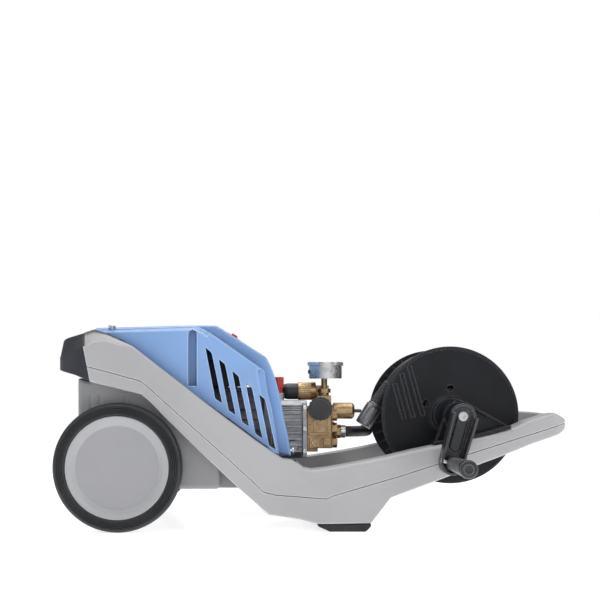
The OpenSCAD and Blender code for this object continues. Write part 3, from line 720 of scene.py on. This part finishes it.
def shell_loft(name, upper):
    """One of the frame's two shells: a closed section swept through the stations."""
    bm = bmesh.new()
    rows = []
    for outer, inner in STATIONS:
        o, i = Vector(outer), Vector(inner)
        wide = (i - o).length
        across = (i - o) / wide

        def line(table, d):
            return interpolate(table, (o + across * d).x)

        seam = line(SEAM_LINE, 0)

        def at(d, z):
            p = o + across * d
            return bm.verts.new((max(p.x, interpolate(REAR_END, z)) * MM, p.y * MM, z * MM))

        inner_seam = line(SEAM_LINE, wide)
        row = []
        if upper:
            top = line(TOP_LINE, 0)
            room = max(top - seam - 2.2, 0.6)
            drop = min(interpolate(EDGE_DROP, outer[0]), room)
            reach = interpolate(EDGE_REACH, outer[0])
            flat = interpolate([(-398, 0.85), (-364, 0.85), (-335, 0.0), (345, 0.0)], outer[0])
            row.append(at(wide, inner_seam + 0.45))
            row += [at(d, seam + h) for d, h in GROOVE]
            row.append(at(0, seam + 1.5 + 0.5 * max(top - drop - seam - 1.5, 0.1)))
            for k in range(7):
                a = math.radians(90 * k / 6)
                arc_d, arc_z = reach * (1 - math.cos(a)), drop * (1 - math.sin(a))
                cut_d, cut_z = reach * k / 6, drop * (1 - k / 6)
                d = arc_d + (cut_d - arc_d) * flat
                z = arc_z + (cut_z - arc_z) * flat
                row.append(at(d, line(TOP_LINE, d) - z))
            for back, z in ((wide * 0.5, 0), (3.0, 0), (1.4, 0.35), (0.4, 1.2), (0, 2.8)):
                row.append(at(wide - back, line(TOP_LINE, wide - back) - z))
        else:
            row.append(at(wide, inner_seam - 0.45))
            row += [at(d, seam - h) for d, h in GROOVE]
            low = line(LOW_LINE, 0)
            soft = min(3.5, max(seam - 1.5 - low - 0.4, 0.3))
            row.append(at(0, 0.5 * (seam - 1.5 + low + soft)))
            for k in range(4):
                a = math.radians(90 * k / 3)
                d = soft * (1 - math.cos(a))
                row.append(at(d, line(LOW_LINE, d) + soft * (1 - math.sin(a))))
            for d, lift in ((wide * 0.5, 0), (wide - 2.0, 0), (wide - 0.5, 0.7), (wide, 2.0)):
                row.append(at(d, line(LOW_LINE, d) + lift))
        rows.append(row)
    for a, b in zip(rows, rows[1:]):
        for k in range(len(a)):
            m = (k + 1) % len(a)
            bm.faces.new((a[k], a[m], b[m], b[k]))
    bm.faces.new(rows[0])
    bm.faces.new(rows[-1][::-1])
    bmesh.ops.remove_doubles(bm, verts=bm.verts, dist=0.00002)
    bmesh.ops.dissolve_degenerate(bm, edges=bm.edges, dist=0.00002)
    if upper:
        lean_in(bm)
    piece = object_from(bm, name, FINISH["shell_grey"], 24)
    return even_normals(piece, 24, on_upper_crease if upper else on_lower_crease)


settle(shell_loft("rail_shell_upper", True), "frame_upper")
settle(shell_loft("rail_shell_lower", False), "frame_lower")


# ---------- hood ----------
HOOD_CHEEK = [
    (-397.5, 299), (-381, 308), (-232, 312), (-214, 304), (-126, 243), (-120, 205), (-114, 183),
    (-109, 152), (-103, 114), (-140, 140), (-169, 162), (-192, 178), (-241, 214), (-343, 290),
    (-397.5, 291),
]
HOOD_CENTRE = [
    (-397.5, 299), (-381, 308), (-232, 313), (-199, 313), (-122, 264), (-116, 252), (-108, 232),
    (-100, 201), (-94, 166), (-88, 140), (-83, 110), (-103, 114), (-140, 140), (-169, 162),
    (-192, 178), (-241, 206), (-343, 285), (-397.5, 291),
]


def inset(outline, d):
    """The outline drawn in by d millimetres."""
    out = []
    count = len(outline)
    turning = sum(a[0] * b[1] - b[0] * a[1] for a, b in zip(outline, outline[1:] + outline[:1]))
    sign = 1 if turning > 0 else -1
    for i in range(count):
        p, q, r = (Vector(outline[(i + k) % count]) for k in (-1, 0, 1))
        n1 = Vector((-(q - p).y, (q - p).x)).normalized() * sign
        n2 = Vector((-(r - q).y, (r - q).x)).normalized() * sign
        m = n1 + n2
        m = m / max(m.dot(m) / 2, 0.35)
        out.append(tuple(q + m * d))
    return out


def slot_outline(i):
    """One louvre slot, with rounded corners."""
    dx, dz = 20.4 * i, -17.8 * i
    corners = [Vector(p) for p in ((-215, 278), (-205.5, 269.8), (-189.5, 193), (-200, 200))]
    out = []
    for k, corner in enumerate(corners):
        before = (corners[k - 1] - corner).normalized()
        after = (corners[(k + 1) % 4] - corner).normalized()
        for t in (0, 0.33, 0.67, 1):
            p = corner + before * 2.4 * (1 - t) ** 2 + after * 2.4 * t ** 2
            out.append((p.x + dx, p.y + dz))
    return out


def edge_wedge(path, width, depth, half, side):
    """A cutter for a flat chamfer: width along the cheek's face, depth in from it."""
    bm = bmesh.new()
    rows = []
    for k, point in enumerate(path):
        run = Vector(path[min(k + 1, len(path) - 1)]) - Vector(path[max(k - 1, 0)])
        inward = Vector((run.y, -run.x)).normalized() * width
        near, far = Vector(point) + inward * 1.2, Vector(point) - inward * 0.2
        places = ((near, half + 0.2 * depth), (far, half - 1.2 * depth), (far, half + 0.2 * depth))
        rows.append([bm.verts.new((q.x * MM, side * y * MM, q.y * MM)) for q, y in places])
    for a, b in zip(rows, rows[1:]):
        for i in range(3):
            j = (i + 1) % 3
            bm.faces.new((a[i], a[j], b[j], b[i]))
    bm.faces.new(rows[0][::-1])
    bm.faces.new(rows[-1])
    return object_from(bm, "wedge", FINISH["hood_blue"])


def raised(outline, lift):
    return [(x, z + lift) for x, z in outline]


def build_hood():
    """Two cheeks with a wider centre over them, hollow below, with channels, troughs and slots."""
    blue = FINISH["hood_blue"]
    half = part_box("hood")[1][1] / MM
    centre_half, wall, opening = 122, 3, -9
    shell = rounded(prism(HOOD_CHEEK, -half, half, blue, "hood_shell"), 1.2, 25, 2)
    fused(shell, rounded(prism(HOOD_CENTRE, -centre_half, centre_half, blue), 4.0, 25, 4))
    for outline, y in ((HOOD_CHEEK, half - wall), (HOOD_CENTRE, centre_half - wall)):
        inside = inset(outline, wall)
        cut(shell, prism(inside, -y, y, blue), prism(raised(inside, opening), -y, y, blue))
    cut(shell, prism([(-130, 60), (-50, 60), (-50, 238), (-130, 238)], -86, 86, blue))
    backings = (
        (14, [(-244, 208), (-225, 208), (-225, 308), (-244, 308)]),
        (18, [(-390, 296), (-390, 301), (-380, 304.5), (-233, 308.5), (-216, 301), (-216, 292),
              (-232, 296)]),
        (half - centre_half + wall, [(-217, 302), (-129, 241), (-126, 224), (-217, 287)]),
        (19, [(-131, 244), (-128.5, 240), (-123, 205), (-117, 183), (-112, 152), (-106, 116),
              (-120, 124), (-126, 152), (-131, 183), (-137, 205), (-143, 240)]))
    for side in (-1, 1):
        face = side * half
        fused(shell, *[prism(outline, face - side * deep, face - side * 1, blue)
                       for deep, outline in backings])
        for i in range(5):
            cut(shell, prism(slot_outline(i), side * 130, side * 160, blue))
        cut(shell, prism([(-210, 320), (-210, 292), (-146, 248), (-146, 270)], side * 122.4,
                         face - side * 2.8, blue))
        cut(shell, prism([(-241, 219), (-228, 219), (-228, 298), (-229, 302), (-232, 304.4),
                          (-234.5, 305), (-237, 304.4), (-240, 302), (-241, 298)],
                         face - side * 10.5, face + side * 9, blue))
        cut(shell, edge_wedge([(-402, 296), (-381, 308), (-232, 312), (-214, 304), (-208, 299.8)],
                              8, 12, half, side))
        cut(shell, edge_wedge([(-127, 246), (-125.6, 240), (-120, 205), (-114, 183), (-109, 152),
                               (-103, 114), (-102, 106)], 10.5, 13, half, side))
    return even_normals(rounded(shell, 0.5, 42, 2), 34)


settle(build_hood(), "hood")


# ---------- bumper ----------
def build_bumper():
    """The dark end cap: a wall round the rear of the frame, creased and leaning in, with a top."""
    side_plan = [(-386.8, 172), (-396, 172), (-403, 171.4), (-409, 169.8), (-415, 167),
                 (-421, 163.4), (-427, 159), (-431.5, 154), (-435, 147.5), (-437.2, 140),
                 (-438.4, 131.5), (-439, 122), (-439, 90), (-439, 45)]
    plan = [Vector((x, -y)) for x, y in side_plan] + [Vector((-439, 0))]
    plan += [Vector((x, y)) for x, y in reversed(side_plan)]

    def top(x):
        return interpolate([(-439, 286.4), (-430, 291), (-399, 298.9)], x)

    bm = bmesh.new()
    columns = []
    for k, p in enumerate(plan):
        run = plan[min(k + 1, len(plan) - 1)] - plan[max(k - 1, 0)]
        out = Vector((run.y, -run.x)).normalized()
        if out.dot(p - Vector((-387, 0))) < 0:
            out = -out
        bottom = interpolate([(-439, 243), (-409, 235), (-386.8, 226)], p.x)
        crease = 263 + (p.x + 439) * 14 / 43
        lean = 14 * abs(out.y) + 4.6 * abs(out.x)
        wall = [(p - out * inward, z) for inward, z in (
            (1.6, bottom + 0.2), (0.5, bottom + 0.7), (0, bottom + 2), (0, crease - 1.2),
            (0.25, crease), (0.9, crease + 1.2))]
        for inward, drop in ((lean - 0.9, 1.9), (lean + 0.9, 0.5), (lean + 3.4, 0)):
            q = p - out * inward
            wall.append((q, top(q.x) - drop))
        columns.append([bm.verts.new((min(q.x, interpolate(REAR_END, z) - 0.3) * MM, q.y * MM,
                                      z * MM)) for q, z in wall])
    for a, b in zip(columns, columns[1:]):
        for k in range(len(a) - 1):
            bm.faces.new((a[k], b[k], b[k + 1], a[k + 1]))
    half = len(columns) // 2
    for i in range(half):
        a, b, c, d = (columns[k][-1] for k in (i, i + 1, -2 - i, -1 - i))
        bm.faces.new((a, b, d) if b is c else (a, b, c, d))
    bmesh.ops.remove_doubles(bm, verts=bm.verts, dist=0.00002)
    piece = object_from(bm, "rear_cap", FINISH["trim_dark"], 30)
    applied(piece, "SOLIDIFY", thickness=0.0028, offset=-1.0)
    return even_normals(piece, 30)


settle(build_bumper(), "rear_bumper")


# ---------- tub ----------
def build_tub():
    """The moulded pan: flat flutes run down its sides and round its rear corners."""
    grey = FINISH["tub_grey"]
    half, nose_half, wall = 148, 126, 3
    outline = [(-409, 233.5), (-409, 112), (-407, 92), (-402, 76), (-395, 66.5), (-385, 62),
               (-192, 62), (-192, 161), (-241, 199), (-343, 279), (-386, 285), (-387.6, 224.6)]
    nose = [(-200, 62), (-66, 62), (-62, 66), (-62, 88), (-122, 88), (-170, 138), (-200, 160)]
    nose_in = [(-215, 65), (-68, 65), (-65, 68), (-65, 85), (-123, 85), (-172, 135), (-215, 176)]
    pan = rounded(prism(outline, -half, half, grey, "tub_pan"), 7.0, 60, 4)
    fused(pan, rounded(prism(nose, -nose_half, nose_half, grey), 2.5, 30, 3))
    for lift in (0, 14):
        cut(pan, *[prism(raised(inside, lift), wall - y, y - wall, grey)
                   for inside, y in ((inset(outline, wall), half), (nose_in, nose_half))])
    for side in (-1, 1):
        for x in (-389, -375, -337):
            flute = prism([(x - 3, 74), (x + 3, 74), (x + 3, 205), (x - 3, 205)],
                          side * 146.6, side * 160, grey)
            cut(pan, rounded(flute, 0.8, 40, 2))
    back_flute = [(-420, 118), (-406.6, 118), (-406.6, 205), (-420, 205)]
    for y in (-120, -80, -40, 0, 40, 120):
        cut(pan, prism(back_flute, y - 5, y + 5, grey))
    cut(pan, bore(along((-412, 90, 150), (1, 0, 0)), 8.2, -20, 8, grey, 32))
    return even_normals(rounded(pan, 0.5, 40, 2), 34)


settle(build_tub(), "tub")


# ---------- wheels ----------
WHEEL = mid("right_tyre")
TYRE_R = tall("right_tyre") / 2


def build_wheel(side, name):
    """The tyre with fine rings round its wall, and the dished rim with its flat disc."""
    axis = along((WHEEL.x, side * 168.5, WHEEL.z), (0, side, 0))
    r = TYRE_R
    profile = [(r - 19.2, -14), (r - 17, -15.6), (r - 13, -16), (r - 6, -15), (r - 2.5, -12.6),
               (r - 0.9, -9.5), (r - 0.15, -6), (r, -2), (r, 2), (r - 0.15, 6), (r - 0.9, 9.5),
               (r - 2.4, 12.4), (r - 4.2, 14.0), (r - 5.6, 14.5)]
    for i in range(4):
        a = r - 6.0 - 2.6 * i
        h = 14.7 + 0.32 * i
        profile += [(a, h - 0.5), (a - 0.35, h + 0.25), (a - 1.2, h + 0.35), (a - 1.75, h - 0.1),
                    (a - 2.1, h - 0.6)]
    profile += [(r - 16.6, 15.9), (r - 17.6, 15.5), (r - 18.6, 14.4), (r - 19.2, 13.2)]
    tyre = lathe(profile, axis, FINISH["tyre_rubber"], "tyre_" + name, 144)
    settle(even_normals(tyre, 40), name + "_tyre")
    r -= 19.3
    rim_profile = [
        (0, 8.6), (17, 8.6), (40, 8.65), (60, 8.7), (r - 16.5, 8.75), (r - 15, 8.85),
        (r - 13.8, 9.2), (r - 12.6, 9.9), (r - 11.4, 10.9), (r - 10.2, 11.8), (r - 9, 12.45),
        (r - 7.6, 12.9), (r - 5.6, 13.35), (r - 3.8, 13.75), (r - 2.4, 14.0), (r - 1.2, 13.9),
        (r - 0.5, 13.4), (r - 0.2, 12.6), (r - 0.2, -13), (r - 5, -13), (r - 6, -12), (r - 6, 4),
        (r - 8, 5), (18, 5), (17, 4), (17, -14.5), (16, -15.5), (8.4, -15.5), (8.1, -15),
        (8.1, 4.9), (0, 5),
    ]
    rim = lathe(rim_profile, axis, FINISH["rim_grey"], "rim_" + name, 144)
    # Faces inside the raised ring take the darker disc copy, painted shade.
    rim.data.materials.append(SHADED_RIM_DISC)
    for polygon in rim.data.polygons:
        away = polygon.center / MM - WHEEL
        polygon.material_index = int(math.hypot(away.x, away.z) < r - 15)
    settle(even_normals(rim, 30), name + "_rim")


build_wheel(-1, "right")
build_wheel(1, "left")


# ---------- reel ----------
FLANGE_R = tall("reel_flange_left") / 2


def flange_axis(side):
    """Local x is the machine's x, local y is up, and local z points out of the reel."""
    basis = Matrix(((1, 0, 0), (0, 0, side), (0, 1, 0))).to_4x4()
    return Matrix.Translation(Vector((REEL_X, 0, REEL_Z)) * MM) @ basis


def build_flange(side, node):
    """A thin disc with a rolled rim, two holes, three rimmed slots, and ribs on its inner face."""
    black = FINISH["reel_black"]
    axis = flange_axis(side)
    r = FLANGE_R
    outer = [(12.1, 75.2), (r - 1.5, 75.2), (r - 0.5, 75.6), (r, 76.4), (r, 79.4), (r - 0.4, 80.3),
             (r - 1.3, 80.8), (r - 3.4, 80.8), (r - 4.2, 80.4), (r - 4.6, 79.6), (r - 5.2, 78.6),
             (r - 6.4, 78.4), (90, 78.3), (60, 78.3), (37, 78.3), (33, 78.6), (30, 79.4),
             (27.5, 82.4), (26.4, 83.8), (25, 84.2), (12.1, 84.2), (12.1, 75.2)]
    disc = lathe(outer, axis, black, node + "_disc", 160, 24)
    for x, z in ((0.5, 42.8), (-38, 18.3)):
        hole = along((REEL_X + x, side * 70, REEL_Z + z), (0, side, 0))
        cut(disc, bore(hole, 5.5, 0, 20, black))
    slots = [((-88, 49.2), (-72.9, -5.7)), ((-76.9, 65.1), (-58.6, -3.3)),
             ((-65, 77), (-42.7, -0.2))]
    ribs = []
    for a, b in slots:
        a, b = Vector(a), Vector(b)
        cut(disc, bar(a, b, 3.4, 76.4, 79.6, axis, black))
        run = (b - a).normalized()
        for shift in (-2.9, 2.9):
            off = Vector((-run.y, run.x)) * shift
            ribs.append(rounded(bar(a + off, b + off, 2.0, 78.0, 81.2, axis, black), 0.7, 40, 3))
    for k in range(36):
        a = TAU * k / 36
        near, far = ((d * math.cos(a), d * math.sin(a)) for d in (47, 104))
        ribs.append(bar(near, far, 1.6, 74.78, 75.3, axis, black))
    settle(join(node + "_detail", even_normals(disc, 24), *ribs), node)


build_flange(-1, "reel_flange_right")
build_flange(1, "reel_flange_left")


# ---------- crank ----------
CRANK_ANGLE = math.radians(-15.4)


def crank_frame():
    """Local x across the arm, y up it, z out of the machine; the reel's centre is the origin."""
    up = Vector((-math.sin(CRANK_ANGLE), 0, math.cos(CRANK_ANGLE)))
    cross = Vector((math.cos(CRANK_ANGLE), 0, math.sin(CRANK_ANGLE)))
    out = Vector((0, -1, 0))
    basis = Matrix((cross, up, out)).transposed().to_4x4()
    return Matrix.Translation(Vector((REEL_X, 0, REEL_Z)) * MM) @ basis


CRANK = crank_frame()
ARM_LEN = 72.0


def arm_outline(top_r, end_r, top=0.0, end=-ARM_LEN, steps=14):
    """Two half circles joined by straight sides, like the crank arm from its hub to its fork."""
    out = []
    for first, r, middle in ((0, top_r, top), (math.pi, end_r, end)):
        for k in range(steps + 1):
            a = first + math.pi * k / steps
            out.append((r * math.cos(a), r * math.sin(a) + middle))
    return out


def build_crank():
    """The arm with its raised edge, the bar down its middle, and the ribbed grip."""
    black = FINISH["arm_black"]
    hub, end, lip = 19.5, 17.5, 3.4
    arm = rounded(plate(arm_outline(hub, end), 168, 192, CRANK, black), 1.6, 40, 3)
    cut(arm, plate(arm_outline(hub - lip, end - lip), 172, 200, CRANK, black),
        plate([(-30, 2), (30, 2), (30, 40), (-30, 40)], 174.8, 200, CRANK, black),
        bore(CRANK @ Matrix.Translation((0, 0, 0.16)), 4.05, 0, 30, black))
    pin = CRANK @ Matrix.Translation(Vector((-30, -ARM_LEN, 188)) * MM)
    cut(arm, bore(pin @ Matrix.Rotation(TAU / 4, 4, "Y"), 3.05, 0, 60, black, 32))
    body = plate(arm_outline(9, 9, 3, -46, 12), 169.4, 175.6, CRANK, black)
    body = rounded(body, 2.8, 40, 5)
    cut(body, bore(CRANK @ Matrix.Translation((0, 0, 0.1722)), 7.4, 0, 20, black, 48))
    arm = even_normals(rounded(arm, 0.5, 44, 2), 34)
    settle(join("crank_arm_detail", arm, even_normals(body, 40)), "crank_arm")

    base = CRANK @ Matrix.Translation(Vector((0, -ARM_LEN, 196.4)) * MM)
    profile = [(5.1, 0), (8.6, 0), (9.6, 0.5), (10.1, 1.6), (10.25, 4)]
    for i in range(11):
        z = 9 + 7.2 * i
        r = 10.1 + 2.7 * (z / 97) ** 1.1
        profile += [(r, z - 1.3), (r - 0.75, z - 0.7), (r - 0.75, z + 0.7), (r, z + 1.3)]
    profile += [(12.85, 92), (13, 95), (12.9, 97), (12.3, 98.4), (11.0, 98.95), (7.2, 98.9),
                (6.6, 98.2), (3.0, 98.0), (0, 98.0)]
    grip = lathe(profile, base, black, "crank_grip_detail", 72, 40)
    settle(even_normals(grip, 40), "crank_grip")


build_crank()


# ---------- hose end ----------
def build_hose_end():
    """A ribbed rubber sleeve and a lugged union with a threaded bore."""
    axis = along(HOSE_END, HOSE_DIR, (0, 1, 0))
    sleeve = [(6.05, 4), (7.2, 4), (7.8, 4.6), (8.0, 6)]
    for i in range(9):
        z = 8 + 3.9 * i
        r = 8.05 + 2.7 * (z - 4) / 41
        sleeve += [(r, z), (r - 0.8, z + 0.5), (r - 0.8, z + 1.5), (r + 0.1, z + 2.0)]
    sleeve += [(10.9, 43.5), (10.7, 44.8), (6.05, 44.8)]
    sleeve = lathe(sleeve, axis, FINISH["black_plastic"], "hose_end_sleeve", 64, 34)
    settle(even_normals(sleeve, 34), "hose_sleeve")
    steel = FINISH["union_grey"]
    nut = lathe([(4, 48.2), (4, 45.2), (11.4, 45.2), (12.0, 45.8), (12.0, 48.6), (13.0, 49.0),
                 (13.5, 49.8), (13.5, 83.6), (13.2, 84.8), (12.6, 85.4)], axis, steel)
    seal = lathe([(12.6, 85.4), (12.2, 85.9), (11.2, 85.9), (10.6, 85.4), (10.5, 84.6)],
                 axis, IVORY)
    thread = [(10.5, 84.6)]
    for i in range(10):
        thread += [(10.5, 83.6 - 2 * i), (9.8, 82.6 - 2 * i)]
    thread += [(10.2, 63.2), (4.2, 63.0), (4.0, 48.2)]
    lugs = [bar((12.9, -2.1), (12.9, 2.1), 1.6, 54, 80,
                axis @ Matrix.Rotation(TAU * k / 12, 4, "Z"), steel) for k in range(12)]
    settle(join("hose_end_union", nut, seal, lathe(thread, axis, FINISH["brass"]), *lugs),
           "hose_union")


build_hose_end()


# ---------- carried parts ----------
BROKEN_EDGES = {
    "motor_housing": 0.4, "motor_front_bell": 1.0, "fan_cover": 1.0, "terminal_box": 2.0,
    "crankcase": 1.2, "pump_head": 0.9, "valve_plugs": 0.6, "oil_cap": 0.7, "unloader_body": 0.6,
    "tee_block": 0.9, "gauge_stem": 0.5, "gauge_case": 0.6, "suction_union": 0.5,
    "suction_elbow": 0.6, "outlet_fitting": 0.5, "pressure_knob": 0.5, "link_ferrules": 0.4,
    "reel_bracket_right": 0.8, "reel_bracket_left": 0.8, "reel_swivel": 0.6, "reel_drum": 0.6,
    "front_foot": 1.6, "cross_member": 0.8, "axle": 0.6, "hood_screws": 0.35, "crank_screw": 0.4,
    "grip_spindle": 0.5, "grip_pin": 0.3, "switch_base": 0.6, "switch_knob": 0.8,
    "cable_gland": 0.5, "frame_liner": 0.5, "cooling_fan": 0.3, "swash_plate": 0.5,
    "rotor_shaft": 0.4,
}


def block(x, y, z, material, soft=0.9):
    """A cast pad between three ranges, with rounded edges."""
    outline = [(x[0], z[0]), (x[1], z[0]), (x[1], z[1]), (x[0], z[1])]
    return even_normals(rounded(prism(outline, *y, material), soft, 40, 3), 36)


def boss(place, direction, r, h, material):
    """A round head of radius r standing h above a surface, with a shallow dish in it."""
    profile = [(0, h - 1.1), (r * 0.5, h - 1.1), (r * 0.55, h), (r - 0.7, h), (r, h - 0.8),
               (r, -3), (0, -3)]
    return even_normals(lathe(profile, along(place, direction), material, steps=40), 36)


def pump_castings():
    """Webs, flanges and bolt heads that the pump's CAD blocks leave plain, by node."""
    out = (0, -1, 0)
    brass, cast = FINISH["brass"], FINISH["cast_aluminium"]
    steel, black = FINISH["zinc_steel"], FINISH["black_plastic"]
    head = [block(x, (y, -40), z, brass) for x, y, z in (
        ((-52, -16), -45.5, (139, 144.5)), ((-52, -16), -44.2, (154, 158)),
        ((-51, -33), -49, (119, 135)), ((-28, -15.5), -46.5, (120, 136)),
        ((-44, -38), -44.5, (144, 166)), ((-22, -15), -45, (146, 172)))]
    head += [boss(place, out, r, h, brass) for place, r, h in (
        ((-42, -49, 127), 6.2, 3.4), ((-21.5, -46.5, 128), 4.6, 2.6),
        ((-30, -42, 149.4), 3.6, 1.8))]
    case = [block((-101, -63), (-54.5, -44), (z, z + 3.2), cast) for z in range(112, 170, 10)]
    case += [block((-62.5, -54.8), (-56, -44), (104, 193), cast, 1.4),
             block((-101, -92), (-53, -40), (106, 178), cast, 1.6)]
    case += [boss((-58.6, -56, z), out, 3.6, 1.9, steel) for z in (114, 150, 184)]
    plug = boss((-48.4, -5, 243.5), (-1, 0, 0), 3.4, 2.0, black)
    return {"pump_head": head, "crankcase": case, "gauge_case": [plug]}


CASTINGS = pump_castings()
for carried, width in BROKEN_EDGES.items():
    piece = refined(carried, width)
    if carried in CASTINGS:
        piece = join(carried + "_detail", piece, *CASTINGS[carried])
    settle(piece, carried)
for kept in ("motor_mounts", "motor_bearings", "plungers", "unloader_spindle", "gauge_dial",
             "gauge_needle", "gauge_glass"):
    materials = frame["nodes"][kept].data.materials
    if not materials:
        materials.append(None)
    for index in range(len(materials)):
        materials[index] = FINISH[SLOT[kept]]


# ---------- floor and light ----------
def build_floor():
    """A white sheet at the height of the lowest point, wider than the picture."""
    bm = bmesh.new()
    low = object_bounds()[0][2]
    corners = [(-30, -14, low), (30, -14, low), (30, 40, low), (-30, 40, low)]
    bm.faces.new([bm.verts.new(p) for p in corners])
    g = Graph("studio_floor")
    colour = g.ramp(g.noise(1.5), (0.3, (0.90, 0.90, 0.905)), (0.7, (0.92, 0.92, 0.925)))
    g.shade(Base_Color=colour, Roughness=0.12, Specular_IOR_Level=0.3,
            Emission_Color=(1.0, 1.0, 1.0, 1.0), Emission_Strength=0.74)
    object_from(bm, "floor", g.material)


def area(name, place, aim, size, power):
    """A rectangular lamp at a place, turned to its aim."""
    data = bpy.data.lights.new(name, "AREA")
    data.shape = "RECTANGLE"
    data.size, data.size_y = size
    data.energy = power
    lamp = linked(name, data)
    lamp.location = place
    lamp.rotation_euler = (Vector(aim) - Vector(place)).to_track_quat("-Z", "Y").to_euler()


def build_sky():
    """White to the camera; as light, dimmer below and in front."""
    world = bpy.data.worlds.new("studio")
    scene.world = world
    world.use_nodes = True
    world.node_tree.nodes.clear()
    sky = Wiring(world.node_tree)
    toward = sky.add("ShaderNodeTexCoord").outputs["Generated"]
    _, y, z = sky.add("ShaderNodeSeparateXYZ", {0: toward}).outputs
    strength = sky.calc("MULTIPLY", sky.spread(z, 0.2, 0.55, -0.1, 0.8),
                        sky.spread(y, 0.5, 1.0, -0.9, 0.1))
    seen = sky.add("ShaderNodeBackground", {"Color": (1, 1, 1, 1)}).outputs[0]
    lit = sky.add("ShaderNodeBackground", {"Color": (0.95, 0.97, 1.0, 1), "Strength": strength})
    direct = sky.add("ShaderNodeLightPath").outputs["Is Camera Ray"]
    blend = sky.add("ShaderNodeMixShader", {0: direct, 1: lit.outputs[0], 2: seen})
    sky.add("ShaderNodeOutputWorld", {0: blend.outputs[0]})


build_floor()
build_sky()
area("top_box", (-0.2, 0.1, 1.9), (-0.05, 0.0, 0.1), (2.4, 1.8), 30)
area("left_box", (-1.9, -0.9, 1.1), (-0.1, 0.0, 0.15), (1.0, 1.4), 6)
area("right_box", (2.1, -0.9, 1.3), (-0.1, 0.0, 0.15), (0.9, 1.3), 20)
area("front_box", (0.3, -2.4, 1.0), (0.0, 0.0, 0.15), (2.0, 0.9), 10)
scene.view_settings.view_transform = "Standard"
